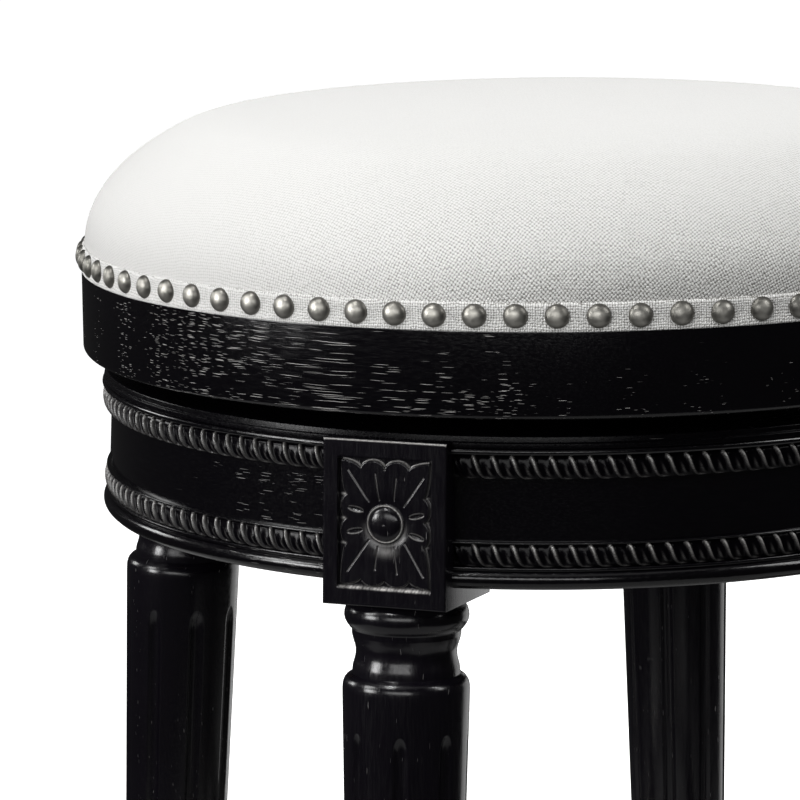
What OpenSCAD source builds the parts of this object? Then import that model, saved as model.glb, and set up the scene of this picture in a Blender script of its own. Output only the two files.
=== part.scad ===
// Round swivel bar stool: a padded seat with a nailed edge turns on a ball bearing
// over a round apron with rope mouldings, four splayed fluted legs and a foot ring.
// The stool stands on the plane z = 0, and its seat turns about the Z axis.
// The front leg is at -Y, and the others follow clockwise, seen from above.

/* [Overall] */
// Height of the cushion's crown above the floor
seat_h = 762; // [720:1:800]

/* [Seat ring] */
// Diameter of the wooden seat ring
seat_d = 457.2; // [440:0.2:475]
// Height of the ring's face
ring_h = 39.3; // [36:0.1:44]
// Thickness of the ring's wall beside the seat board
ring_wall = 24; // [22:0.5:28]
// Width of the ledge that the seat board bears on
ring_ledge = 16; // [13:0.5:20]
// Height of the nailing shoulder above the ring's face
shoulder_h = 14; // [13.5:0.5:18]
// Rounding of the ring's lower outer edge
ring_round = 2.5; // [1:0.5:5]
// Rounding of the ring's upper outer edge
ring_ease = 0.8; // [0.4:0.1:1]
// Thickness of the plywood seat board
seat_board_t = 18; // [15:1:20]

/* [Cushion] */
// Height of the cushion's crown above the ring's face
crown_h = 82; // [76:1:92]
// Height of the cushion's upright side
side_h = 10; // [6:1:13]
// Part of the crown's height that swells over the whole seat
swell_h = 6; // [2:1:10]
// Thickness of the linen cover
cover_t = 1.2; // [0.8:0.1:2]
// Distance of the cover's side in from the ring's face
cover_set = 2; // [1.6:0.1:3]
// Thickness of the linen band round the cushion's foot
band_t = 1; // [0.6:0.1:1.4]
// Height of the linen band
band_h = 13; // [12:0.5:16]

/* [Nails] */
// Number of nails round the seat
nail_count = 78; // [60:1:84]
// Diameter of a nail's head
nail_d = 11; // [9:0.5:12]
// Height of a nail's domed head
nail_dome = 2.4; // [1.8:0.1:3.5]
// Height of the nails above the ring's face
nail_z = 6.5; // [6:0.1:7.5]
// Diameter of a nail's shank
nail_shank_d = 1.8; // [1.2:0.1:2.4]
// Length of a nail's shank
nail_shank_l = 13; // [9:1:16]
// Turn of the first nail from the front leg
nail_turn = 1.565; // [0:0.1:4.6]

/* [Swivel bearing] */
// Height of the bearing, which sets the seat ring's gap over the base
swivel_h = 8.8; // [8.8:0.1:12]
// Width of the square bearing plates
plate_w = 170; // [160:1:190]
// Thickness of the bearing plates
plate_t = 2; // [1.9:0.1:2.1]
// Radius of the bearing plates' corners
plate_corner = 10; // [4:1:14]
// Diameter of the ball race
race_d = 120; // [100:1:130]
// Number of balls
ball_count = 24; // [16:1:30]
// Depth that a ball sinks into each plate
ball_sink = 0.7; // [0.5:0.1:0.9]
// Width of the ball cage
cage_w = 12; // [10:1:16]
// Thickness of the ball cage
cage_t = 1.2; // [0.8:0.1:1.6]
// Diameter of the king pin
pin_d = 16; // [12:1:20]
// Diameter of the king pin's flange
pin_flange_d = 26; // [24:1:30]
// Thickness of the king pin's flange
pin_flange_t = 1.5; // [1:0.1:1.6]
// Distance of the bearing's screws in from the edges of its plates
plate_hole_inset = 12; // [10:1:16]

/* [Base top] */
// Overhang of the seat ring over the base top
overhang = 9.6; // [6:0.1:14]
// Height of the base top's shaped edge
lip_h = 5.5; // [4:0.5:8]
// Lean of the base top's shaped edge
lip_lean = 1.2; // [0.5:0.1:2.5]
// Depth of the board below the base top's edge
board_drop = 13; // [10:1:18]

/* [Apron] */
// Distance of the plain frieze in from the edge of the base top
frieze_set = 3.2; // [2.8:0.1:5]
// Thickness of the apron rails
rail_t = 20; // [18:0.5:24]
// Height of the plain frieze between the ropes
frieze_h = 28; // [22:0.5:36]
// Height of the bead under the base top
bead_h = 3.2; // [2.4:0.1:4]
// Distance that the bead stands out of the frieze
bead_proud = 4; // [3:0.1:6]
// Height of the rope mouldings
rope_d = 10.4; // [9:0.1:12]
// Distance that the ropes stand out of the frieze
rope_proud = 3.9; // [3.5:0.1:5]
// Height of the thin fillets at the lower rope
fillet_h = 1.1; // [0.8:0.1:2]
// Distance that the thin fillets stand out of the frieze
fillet_proud = 2.8; // [2:0.1:4.5]
// Height of the round moulding at the apron's foot
foot_round_h = 8.8; // [7:0.1:11]
// Distance that the foot moulding stands out of the frieze
foot_round_proud = 4.6; // [4.4:0.1:6.5]

/* [Legs] */
// Outward splay of the legs, in degrees
splay = 2.86; // [1.5:0.01:4]
// Width of the square block at a leg's head
block_w = 58.3; // [54:0.1:62]
// Length of the head block
block_l = 74.5; // [72:0.1:82]
// Distance that the head block's middle stands out of the frieze
block_proud = 10; // [8:0.1:14]
// Distance of the head block's front edge below the base top
block_drop = 2.9; // [1.5:0.1:3.5]
// Border at the sides of the carved panel
panel_side = 6.8; // [5:0.1:9]
// Border at the ends of the carved panel
panel_end = 8; // [6:0.1:11]
// Depth of the carved panel
panel_deep = 2; // [1:0.1:3]
// Diameter of the boss in the carved panel
boss_d = 15.6; // [12:0.1:20]
// Height of the boss above the panel
boss_h = 3.4; // [2:0.1:5]
// Diameter of the collar below the head block
collar_d = 56.4; // [53:0.1:58]
// Height of the collar
collar_h = 13.4; // [11:0.1:15]
// Diameter of the turned neck
neck_d = 48.6; // [45:0.1:51]
// Length of the turned neck
neck_l = 20; // [17:0.1:24]
// Depth of the cove in the neck
cove_deep = 1.6; // [0.8:0.1:2.5]
// Diameter of the fluted shaft at its shoulder
shaft_d = 57.4; // [54:0.1:60]
// Rounding of the shaft's shoulders
shoulder_r = 5; // [3:0.1:6]
// Diameter of the fluted shaft at its lower end
shaft_low_d = 49.6; // [46:0.1:52]
// Number of flutes on a leg
flute_count = 8; // [6:1:12]
// Radius of the cutter that makes the flutes
flute_r = 4; // [3:0.1:5]
// Depth of the flutes
flute_deep = 2; // [1:0.1:2.5]
// Plain length between a shoulder and the flutes
flute_inset = 20; // [14:1:30]
// Turn of the flutes on each leg from facing straight out: front, left, back, right
flute_turns = [16, -5, 8, 12];

/* [Lower legs] */
// Width of the square block at the foot ring
knee_w = 50; // [48:0.5:54]
// Length of the block at the foot ring
knee_l = 62; // [54:1:70]
// Diameter of the necks beside that block
knee_neck_d = 40; // [36:0.5:44]
// Diameter of the collars beside that block
knee_collar_d = 48; // [44:0.5:50]
// Height of the collars beside that block
knee_collar_h = 11; // [9:0.5:13]
// Length of the necks beside that block
knee_neck_l = 12; // [9:0.5:16]
// Diameter of the foot at its top
foot_top_d = 44; // [41:0.5:47]
// Diameter of the foot above its cuff
foot_low_d = 29; // [26:0.5:32]
// Diameter of the foot's cuff
cuff_d = 34; // [32:0.5:37]
// Height of the cuff above the floor
cuff_z = 26; // [20:1:34]

/* [Foot ring] */
// Height of the foot ring's middle above the floor
foot_ring_z = 255; // [230:1:280]
// Width of the foot rails
foot_rail_w = 24; // [20:0.5:28]
// Height of the foot rails
foot_rail_h = 34; // [28:0.5:40]
// Rounding of the foot rails' edges
foot_rail_round = 5; // [3:0.5:8]
// Thickness of the kick plates
kick_t = 1.2; // [0.8:0.1:2]
// Depth that the kick plates reach down the rails' outer face
kick_drop = 24; // [18:0.5:26]
// Distance of the kick plates' ends from the leg blocks
kick_gap = 4; // [2:0.5:10]

/* [Fasteners and glides] */
// Diameter of the dowels
dowel_d = 8; // [6:0.5:9]
// Length of the dowels
dowel_l = 40; // [30:1:44]
// Diameter of the wood screws' shanks
screw_d = 4; // [3.4:0.1:4.4]
// Diameter of the wood screws' heads
screw_head_d = 8; // [7:0.1:8.6]
// Height of the wood screws' heads
screw_head_h = 2.1; // [1.8:0.1:2.2]
// Length that a screw reaches into the second piece of wood
screw_grip = 14; // [8:1:16]
// Width of the glue blocks behind the rails' ends
glue_w = 24; // [16:1:30]
// Diameter of the glides
glide_d = 22; // [18:1:25]
// Thickness of the glides
glide_h = 5; // [4:0.5:8]

/* [Hidden] */
$fn = 96;

// Colours
linen = [0.90, 0.89, 0.86];
ebony = [0.07, 0.065, 0.065];
pewter = [0.55, 0.52, 0.48];
zinc = [0.72, 0.72, 0.70];
plywood = [0.72, 0.58, 0.40];

// Clearances: cuts overrun by cut, joints in wood are looser by fit, soft parts by soft,
// and turning parts by run
cut = 1;
fit = 0.1;
soft = 0.2;
run = 0.06;
air = 0.3;

// Heights from the floor, from the top down
rim_z = seat_h - crown_h;
ring_z = rim_z - ring_h;
base_z = ring_z - swivel_h;
lip_z = base_z - lip_h;
bead_z = lip_z - bead_h;
upper_rope_z = bead_z - air - rope_d / 2;
frieze_z = upper_rope_z - rope_d / 2 - frieze_h;
lower_rope_z = frieze_z - fillet_h - rope_d / 2;
foot_round_z = lower_rope_z - rope_d / 2 - fillet_h - foot_round_h;
apron_z = foot_round_z;

// Radii
seat_r = seat_d / 2;
board_r = seat_r - ring_wall;
ledge_r = board_r - ring_ledge;
cover_r = seat_r - cover_set;
band_r = cover_r + band_t;
lip_r = seat_r - overhang;
frieze_r = lip_r - frieze_set;
rail_in_r = frieze_r - rail_t;

// Cushion outline: the powers shape its shoulder, and the steps divide it
crown_power = 4.2;
edge_power = 2.2;
crown_steps = 24;
function crown_points(r, h) = [for (i = [0:crown_steps])
    let (a = 90 * i / crown_steps, u = pow(sin(a), 2 / crown_power))
    [r * u, side_h + (h - side_h - swell_h) * pow(cos(a), 2 / edge_power) + swell_h * (1 - u * u)]];

// Legs: u runs up a leg's axis from the floor
block_mid_z = base_z - block_drop - block_l / 2;
leg_mid_r = frieze_r + block_proud - block_w / 2;
leg_floor_r = leg_mid_r + block_mid_z * tan(splay);
block_top_u = (base_z - block_drop - block_w / 2 * sin(splay)) / cos(splay);
block_u = block_top_u - block_l;
neck_u = block_u - collar_h;
shoulder_u = neck_u - neck_l - shoulder_r;
knee_mid_u = foot_ring_z / cos(splay);
knee_top_u = knee_mid_u + knee_l / 2;
knee_low_u = knee_mid_u - knee_l / 2;
shaft_low_u = knee_top_u + knee_collar_h + knee_neck_l + shoulder_r;
shaft_r = shaft_d / 2;
shaft_low_r = shaft_low_d / 2;
shaft_l = shoulder_u - shaft_low_u;
shaft_taper = atan((shaft_r - shaft_low_r) / shaft_l);
flute_low_u = shaft_low_u + flute_inset;
flute_l = shaft_l - 2 * flute_inset;
flute_low_r = shaft_low_r + flute_inset * tan(shaft_taper);
foot_top_u = knee_low_u - knee_collar_h;

// Foot ring
foot_ring_r = leg_floor_r - foot_ring_z * tan(splay);
foot_in_r = foot_ring_r - foot_rail_w / 2;
foot_out_r = foot_ring_r + foot_rail_w / 2;
foot_rail_low_z = foot_ring_z - foot_rail_h / 2;
foot_rail_top_z = foot_ring_z + foot_rail_h / 2;

// Bearing
ball_d = swivel_h - 2 * plate_t + 2 * ball_sink;
ball_z = base_z + swivel_h / 2;
dish_r = pin_flange_d / 2 + cut;
plate_hole_gap = plate_w - 2 * plate_hole_inset;
// Step down of the upper plate round the king pin, which makes room for the flange
dish_drop = pin_flange_t + 2 * soft;

// Apron dowels stand at two heights, as shares of the apron's height
apron_h = lip_z - apron_z;
dowel_height_shares = [0.3, 0.68];
dowel_r = frieze_r - rail_t / 2;
apron_screw_r = leg_mid_r - block_w / 5;

// Turns a copy for leg or rail k, from the front one
module quarter(k) { rotate([0, 0, -90 * k]) children(); }

// Places what is drawn along a leg's axis, its outer side at -Y
module leg_place(k) {
    quarter(k) translate([0, -leg_floor_r, 0]) rotate([-splay, 0, 0]) children();
}

// Space between the side planes of the leg blocks of width w, for rail k
module between_blocks(k, w) {
    reach = 2 * seat_d;
    quarter(k) translate([-reach - w / 2, -reach - w / 2, 0]) cube([reach, reach, seat_h]);
}

// Wood screw pointing down -Z, with its head's underside at z = 0
module screw(grip) {
    cylinder(h = screw_head_h, d1 = screw_head_d, d2 = screw_head_d * 0.7);
    translate([0, 0, -grip]) cylinder(h = grip + screw_head_h / 2, d = screw_d);
}

// Wood screw pointing down -Z, with its countersunk head flush at z = 0
module flush_screw(grip) {
    translate([0, 0, -screw_head_h])
        cylinder(h = screw_head_h, d1 = screw_d, d2 = screw_head_d);
    translate([0, 0, -grip]) cylinder(h = grip, d = screw_d);
}

// Hole for such a screw, looser by gap, whose countersink runs on above z = 0
module screw_hole(grip, gap) {
    widening = (screw_head_d - screw_d) / screw_head_h;
    translate([0, 0, -screw_head_h])
        cylinder(h = screw_head_h + cut, d1 = screw_d + 2 * gap,
            d2 = screw_head_d + 2 * gap + widening * cut);
    translate([0, 0, -grip]) cylinder(h = grip - gap, d = screw_d + 2 * gap);
}

// Rectangle from the axis side, with rounded outer corners
module rounded_outer(w, h, low_r, high_r) {
    square([w - max(low_r, high_r), h]);
    translate([0, low_r]) square([w, h - low_r - high_r]);
    square([w - low_r, low_r + cut]);
    translate([w - low_r, low_r]) circle(low_r);
    translate([0, h - high_r - cut]) square([w - high_r, high_r + cut]);
    translate([w - high_r, h - high_r]) circle(high_r);
}

// Seat

module seat_cover() {
    inner_r = cover_r - cover_t;
    color(linen) translate([0, 0, rim_z]) rotate_extrude()
        difference() {
            polygon(concat([[0, 0]], crown_points(cover_r, crown_h), [[cover_r, 0]]));
            polygon(concat([[0, -cut]], crown_points(inner_r, crown_h - cover_t),
                [[inner_r, -cut]]));
        }
}

module seat_foam() {
    foam_r = cover_r - cover_t - soft;
    foam_top = crown_h - cover_t - soft;
    well_r = ledge_r - soft;
    foam_low = seat_board_t - ring_h;
    color("lightyellow") translate([0, 0, rim_z]) rotate_extrude()
        polygon(concat([for (p = crown_points(foam_r, foam_top)) [p[0], max(p[1], shoulder_h)]],
            [[well_r, shoulder_h], [well_r, foam_low], [0, foam_low]]));
}

module seat_band() {
    color(linen) translate([0, 0, rim_z]) rotate_extrude()
        translate([cover_r, 0]) square([band_t, band_h]);
}

module nail() {
    ball_r = (nail_d * nail_d / 4 + nail_dome * nail_dome) / (2 * nail_dome);
    intersection() {
        translate([0, 0, nail_dome - ball_r]) sphere(ball_r);
        cylinder(h = nail_dome + cut, d = nail_d + cut);
    }
    translate([0, 0, -nail_shank_l]) cylinder(h = nail_shank_l + nail_dome / 2, d = nail_shank_d);
}

module seat_nails() {
    color(pewter) for (i = [0:nail_count - 1])
        rotate([0, 0, nail_turn + 360 * i / nail_count])
            translate([0, -band_r, rim_z + nail_z]) rotate([90, 0, 0]) nail();
}

module seat_ring() {
    shoulder_r_out = cover_r - cover_t - soft;
    color(ebony) difference() {
        translate([0, 0, ring_z]) rotate_extrude() {
            difference() {
                translate([ledge_r, 0]) rounded_outer(seat_r - ledge_r, ring_h, ring_round, ring_ease);
                translate([0, -cut]) square([board_r, seat_board_t + cut]);
            }
            translate([ledge_r, ring_h - cut]) square([shoulder_r_out - ledge_r, shoulder_h + cut]);
        }
        seat_screw_places() flush_screw(seat_board_t + screw_grip);
    }
}

// Places for the screws that hold the seat board up against the ring's ledge
module seat_screw_places() {
    screw_count = 8;
    for (i = [0:screw_count - 1])
        rotate([0, 0, 360 * (i + 0.5) / screw_count])
            translate([board_r - ring_ledge / 2, 0, ring_z]) rotate([180, 0, 0]) children();
}

module seat_board() {
    color(plywood) difference() {
        translate([0, 0, ring_z]) cylinder(h = seat_board_t, r = board_r - fit);
        seat_screw_places() screw_hole(seat_board_t + cut, fit);
        translate([0, 0, ring_z]) mirror([0, 0, 1]) plate_screw_places()
            translate([0, 0, -screw_grip]) cylinder(h = screw_grip + cut, d = screw_d);
    }
}

module seat_board_screws() {
    color(zinc) seat_screw_places() flush_screw(seat_board_t + screw_grip);
}

// Bearing

// Places of the four corner screws of a bearing plate
module plate_screw_places() {
    for (x = [-1, 1], y = [-1, 1])
        translate([x * plate_hole_gap / 2, y * plate_hole_gap / 2, 0]) children();
}

module plate_blank() {
    flat = plate_w - 2 * plate_corner;
    translate([-plate_w / 2, -flat / 2, 0]) cube([plate_w, flat, plate_t]);
    translate([-flat / 2, -plate_w / 2, 0]) cube([flat, plate_w, plate_t]);
    for (x = [-1, 1], y = [-1, 1])
        translate([x * flat / 2, y * flat / 2, 0]) cylinder(h = plate_t, r = plate_corner);
}

// Groove that the balls run in
module race() {
    translate([0, 0, ball_z]) rotate_extrude()
        translate([race_d / 2, 0]) circle(d = ball_d + 2 * fit);
}

module bearing_top_plate() {
    low_z = ring_z - plate_t;
    color(zinc) difference() {
        union() {
            translate([0, 0, low_z]) plate_blank();
            translate([0, 0, low_z - dish_drop]) cylinder(h = dish_drop + cut, r = dish_r + plate_t);
        }
        translate([0, 0, ring_z - dish_drop]) cylinder(h = dish_drop + cut, r = dish_r);
        translate([0, 0, low_z - dish_drop - cut])
            cylinder(h = plate_t + dish_drop + 2 * cut, d = pin_d + 2 * run);
        race();
        translate([0, 0, low_z - cut]) plate_screw_places()
            cylinder(h = plate_t + 2 * cut, d = screw_d + 2 * fit);
    }
}

module bearing_top_screws() {
    color(zinc) translate([0, 0, ring_z - plate_t]) mirror([0, 0, 1]) plate_screw_places()
        screw(plate_t + screw_grip - soft);
}

module bearing_cage() {
    color("peru") difference() {
        translate([0, 0, ball_z - cage_t / 2]) difference() {
            cylinder(h = cage_t, d = race_d + cage_w);
            translate([0, 0, -cut]) cylinder(h = cage_t + 2 * cut, d = race_d - cage_w);
        }
        ball_places() translate([0, 0, -cage_t]) cylinder(h = 2 * cage_t, d = ball_d + 2 * fit);
    }
}

module ball_places() {
    for (i = [0:ball_count - 1])
        rotate([0, 0, 360 * i / ball_count]) translate([race_d / 2, 0, ball_z]) children();
}

module bearing_balls() {
    color("silver") ball_places() sphere(d = ball_d);
}

module bearing_bottom_plate() {
    color(zinc) difference() {
        translate([0, 0, base_z]) plate_blank();
        translate([0, 0, base_z - cut]) cylinder(h = plate_t + 2 * cut, d = pin_d);
        race();
        translate([0, 0, base_z - cut]) plate_screw_places()
            cylinder(h = plate_t + 2 * cut, d = screw_d + 2 * fit);
    }
}

module bearing_bottom_screws() {
    color(zinc) translate([0, 0, base_z + plate_t]) plate_screw_places()
        screw(plate_t + screw_grip - soft);
}

module king_pin() {
    flange_z = ring_z - dish_drop + soft;
    color(zinc) {
        translate([0, 0, base_z]) cylinder(h = flange_z - base_z + pin_flange_t / 2, d = pin_d);
        translate([0, 0, flange_z]) cylinder(h = pin_flange_t, d = pin_flange_d);
    }
}

// Base top and apron

// Edge of the base top, swelling down to its widest
lip_steps = 5;
lip_points = [for (i = [0:lip_steps])
    let (t = i / lip_steps) [lip_r - lip_lean * t * t, lip_z + lip_h * t]];

// Leg's head block, looser by gap all round
module head_block(gap = 0) {
    w = block_w + 2 * gap;
    translate([-w / 2, -w / 2, block_u]) cube([w, w, block_l + gap]);
}

module base_top() {
    boss_r = rail_in_r - fit;
    color(ebony) difference() {
        rotate_extrude()
            polygon(concat([[0, lip_z - board_drop], [boss_r, lip_z - board_drop], [boss_r, lip_z]],
                lip_points, [[0, base_z]]));
        for (k = [0:3]) leg_place(k) head_block(fit);
        translate([0, 0, base_z]) plate_screw_places()
            translate([0, 0, -screw_grip]) cylinder(h = screw_grip + cut, d = screw_d);
        base_screw_places() screw_hole(lip_h + board_drop + screw_grip, fit);
    }
}

// Places for the screws that hold the base top down on the leg blocks, two to a leg
module base_screw_places() {
    for (k = [0:3], x = [-1, 1])
        quarter(k) translate([x * block_w / 5, -apron_screw_r, base_z]) children();
}

module base_top_screws() {
    color(zinc) base_screw_places() flush_screw(block_drop + 2 * screw_grip);
}

module apron_section() {
    translate([rail_in_r, apron_z]) square([rail_t, apron_h]);
    bead_r = bead_h / 2;
    translate([frieze_r - cut, bead_z]) square([bead_proud - bead_r + cut, bead_h]);
    translate([frieze_r + bead_proud - bead_r, bead_z + bead_r]) circle(bead_r);
    for (z = [frieze_z - fillet_h, lower_rope_z - rope_d / 2 - fillet_h])
        translate([frieze_r - cut, z]) square([fillet_proud + cut, fillet_h]);
    round_r = foot_round_h / 2;
    translate([frieze_r - cut, foot_round_z]) square([foot_round_proud - round_r + cut, foot_round_h]);
    translate([frieze_r + foot_round_proud - round_r, foot_round_z + round_r]) circle(round_r);
}

module apron_rail(k) {
    color(ebony) difference() {
        intersection() {
            rotate_extrude() apron_section();
            between_blocks(k, block_w);
        }
        quarter(k) dowel_pair(fit);
        quarter(k + 1) mirror([1, 0, 0]) dowel_pair(fit);
    }
}

// Two dowels that cross the front leg block's left side, one over the other
module dowel_pair(gap) {
    at_y = -sqrt(dowel_r * dowel_r - block_w * block_w / 4);
    for (share = dowel_height_shares)
        translate([-block_w / 2, at_y, lip_z - share * apron_h]) rotate([0, 90, 0])
            cylinder(h = dowel_l + 2 * gap, d = dowel_d + 2 * gap, center = true);
}

module apron_dowels() {
    color(plywood) for (k = [0:3]) quarter(k) {
        dowel_pair(0);
        mirror([1, 0, 0]) dowel_pair(0);
    }
}

// Half round ropes between the leg blocks
module rope(z) {
    color(ebony) difference() {
        rotate_extrude() intersection() {
            translate([frieze_r + rope_proud - rope_d / 2, z]) circle(d = rope_d);
            translate([frieze_r, z - rope_d]) square([rope_d, 2 * rope_d]);
        }
        for (k = [0:3]) quarter(k)
            translate([-block_w / 2, -2 * seat_r, 0]) cube([block_w, 2 * seat_r, seat_h]);
    }
}

module upper_rope() { rope(upper_rope_z); }
module lower_rope() { rope(lower_rope_z); }

// Glue blocks in the corners between the leg blocks and the rails
module glue_blocks() {
    low_z = apron_z + foot_round_h;
    top_z = lip_z - board_drop - air;
    corner_y = sqrt(rail_in_r * rail_in_r - block_w * block_w / 4);
    color(plywood) for (k = [0:3], side = [0, 1]) quarter(k) mirror([side, 0, 0])
        translate([0, 0, low_z]) intersection() {
            linear_extrude(top_z - low_z)
                polygon([[block_w / 2, -corner_y + glue_w], [block_w / 2, -corner_y - glue_w],
                    [block_w / 2 + 2 * glue_w, -corner_y - glue_w]]);
            cylinder(h = top_z - low_z, r = rail_in_r);
        }
}

// Legs

// Long cutter with round ends, standing on z = 0
module flute_cutter() {
    rotate_extrude() intersection() {
        union() {
            circle(flute_r);
            translate([0, flute_l]) circle(flute_r);
            translate([-flute_r, 0]) square([2 * flute_r, flute_l]);
        }
        translate([0, -2 * flute_r]) square([2 * flute_r, flute_l + 4 * flute_r]);
    }
}

// Turned neck and collar next to a block, from the shoulder at z = 0 up to the block
module turned_end(neck_d, neck_l, collar_d, collar_h, body_r, lead) {
    rotate_extrude() {
        square([body_r - shoulder_r, shoulder_r]);
        intersection() {
            translate([body_r - shoulder_r, 0]) circle(shoulder_r);
            square([body_r, shoulder_r]);
        }
        difference() {
            square([neck_d / 2, shoulder_r + neck_l + collar_h + lead]);
            cove_l = neck_l * 0.72;
            cove_r = (cove_l * cove_l / 4 + cove_deep * cove_deep) / (2 * cove_deep);
            translate([neck_d / 2 - cove_deep + cove_r, shoulder_r + neck_l * 0.52]) circle(cove_r);
        }
        translate([collar_d / 2 - collar_h / 2, shoulder_r + neck_l + collar_h / 2]) circle(d = collar_h);
        translate([0, shoulder_r + neck_l])
            square([collar_d / 2 - collar_h / 2, collar_h]);
    }
}

module carved_panel() {
    w = block_w - 2 * panel_side;
    l = block_l - 2 * panel_end;
    difference() {
        translate([-w / 2, -block_w / 2 - cut, block_u + panel_end]) cube([w, panel_deep + cut, l]);
        boss_ball_r = (boss_d * boss_d / 4 + boss_h * boss_h) / (2 * boss_h);
        translate([0, -block_w / 2 + panel_deep - boss_h + boss_ball_r, block_u + block_l / 2])
            sphere(boss_ball_r);
    }
}

module leg(k) {
    lead = cut;
    color(ebony) difference() {
        leg_place(k) difference() {
            union() {
                difference() {
                    head_block();
                    carved_panel();
                }
                translate([0, 0, shoulder_u])
                    turned_end(neck_d, neck_l, collar_d, collar_h, shaft_r, lead);
                translate([0, 0, shaft_low_u]) cylinder(h = shaft_l, r1 = shaft_low_r, r2 = shaft_r);
                translate([0, 0, shaft_low_u]) mirror([0, 0, 1])
                    turned_end(knee_neck_d, knee_neck_l, knee_collar_d, knee_collar_h, shaft_low_r, lead);
                translate([-knee_w / 2, -knee_w / 2, knee_low_u]) cube([knee_w, knee_w, knee_l]);
                foot();
            }
            rotate([0, 0, flute_turns[k]]) for (i = [0:flute_count - 1])
                rotate([0, 0, 360 * i / flute_count])
                    translate([0, -(flute_low_r + flute_r - flute_deep), flute_low_u])
                        rotate([shaft_taper, 0, 0]) flute_cutter();
        }
        quarter(k) {
            translate([-knee_w, -leg_floor_r - knee_w, -knee_w])
                cube([2 * knee_w, 2 * knee_w, knee_w + glide_h]);
            glide_place() translate([0, 0, glide_h - cut])
                cylinder(h = glide_nail_l + cut, d = glide_nail_d);
            dowel_pair(fit);
            mirror([1, 0, 0]) dowel_pair(fit);
            foot_dowel(fit);
            mirror([1, 0, 0]) foot_dowel(fit);
        }
        base_screw_places() flush_screw(block_drop + 2 * screw_grip);
    }
}

// Turned foot below the foot ring
module foot() {
    foot_top_r = foot_top_d / 2;
    foot_low_r = foot_low_d / 2;
    bead_h = cuff_z / 3;
    rotate_extrude() {
        translate([0, foot_top_u]) square([knee_collar_d / 2 - knee_collar_h / 2, knee_collar_h + cut]);
        translate([knee_collar_d / 2 - knee_collar_h / 2, foot_top_u + knee_collar_h / 2])
            circle(d = knee_collar_h);
        polygon([[0, foot_top_u + cut], [foot_top_r - shoulder_r, foot_top_u + cut],
            [foot_top_r - shoulder_r, foot_top_u], [foot_top_r, foot_top_u - shoulder_r],
            [foot_low_r, cuff_z], [foot_low_r, -glide_h], [0, -glide_h]]);
        translate([cuff_d / 2 - bead_h / 2, cuff_z]) circle(d = bead_h);
        translate([0, cuff_z - bead_h / 2]) square([cuff_d / 2 - bead_h / 2, bead_h]);
    }
}

module leg_front() { leg(0); }
module leg_left() { leg(1); }
module leg_back() { leg(2); }
module leg_right() { leg(3); }

// Foot ring

module foot_rail(k) {
    color(ebony) difference() {
        intersection() {
            rotate_extrude() translate([foot_in_r, foot_rail_low_z]) foot_rail_section();
            between_blocks(k, knee_w);
        }
        quarter(k) foot_dowel(fit);
        quarter(k + 1) mirror([1, 0, 0]) foot_dowel(fit);
        kick_screw_places(k) cylinder(h = 2 * screw_grip, d = kick_screw_d, center = true);
    }
}

module foot_rail_section() {
    r = foot_rail_round;
    translate([r, 0]) square([foot_rail_w - 2 * r, foot_rail_h]);
    translate([0, r]) square([foot_rail_w, foot_rail_h - 2 * r]);
    for (x = [r, foot_rail_w - r], z = [r, foot_rail_h - r]) translate([x, z]) circle(r);
}

// Dowel that crosses the left side of the front leg's block at the foot ring
module foot_dowel(gap) {
    at_y = -sqrt(foot_ring_r * foot_ring_r - knee_w * knee_w / 4);
    translate([-knee_w / 2, at_y, foot_ring_z]) rotate([0, 90, 0])
        cylinder(h = dowel_l + 2 * gap, d = dowel_d + 2 * gap, center = true);
}

module foot_dowels() {
    color(plywood) for (k = [0:3]) quarter(k) {
        foot_dowel(0);
        mirror([1, 0, 0]) foot_dowel(0);
    }
}

// Kick plate: a strip of metal bent over the outer top edge of a foot rail
kick_screw_d = 2.6;
kick_head_d = 6;
kick_head_h = 1.4;
kick_screw_turns = [-26, 0, 26];

module kick_plate(k) {
    r = foot_rail_round;
    edge_x = foot_out_r - r;
    edge_z = foot_rail_top_z - r;
    bend_r = r + soft;
    color(pewter) difference() {
        intersection() {
            rotate_extrude() {
                translate([foot_ring_r, edge_z + bend_r]) square([edge_x - foot_ring_r, kick_t]);
                translate([edge_x + bend_r, foot_rail_top_z - kick_drop])
                    square([kick_t, kick_drop - r]);
                intersection() {
                    difference() {
                        translate([edge_x, edge_z]) circle(bend_r + kick_t);
                        translate([edge_x, edge_z]) circle(bend_r);
                    }
                    translate([edge_x, edge_z]) square([2 * r, 2 * r]);
                }
            }
            between_blocks(k, knee_w + 2 * kick_gap);
        }
        kick_screw_places(k) cylinder(h = 2 * screw_grip, d = kick_screw_d + 2 * fit, center = true);
    }
}

// Places of a kick plate's screws: +Z points out of the rail at its outer face
module kick_screw_places(k) {
    for (turn = kick_screw_turns) rotate([0, 0, -90 * k - 45 + turn])
        translate([0, -foot_out_r, foot_rail_top_z - kick_drop / 2 - foot_rail_round / 2])
            rotate([90, 0, 0]) children();
}

module kick_plate_screws() {
    ball_r = (kick_head_d * kick_head_d / 4 + kick_head_h * kick_head_h) / (2 * kick_head_h);
    color(pewter) for (k = [0:3]) kick_screw_places(k) {
        translate([0, 0, kick_t + soft]) intersection() {
            translate([0, 0, kick_head_h - ball_r]) sphere(ball_r);
            cylinder(h = kick_head_h + cut, d = kick_head_d + cut);
        }
        translate([0, 0, soft - screw_grip]) cylinder(h = screw_grip + kick_t, d = kick_screw_d);
    }
}

// Glides

glide_nail_d = 2.4;
glide_nail_l = 16;
glide_head_d = 7;
glide_head_h = 1.2;

module glide_place() {
    translate([0, -leg_floor_r + glide_h * tan(splay), 0]) children();
}

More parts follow.
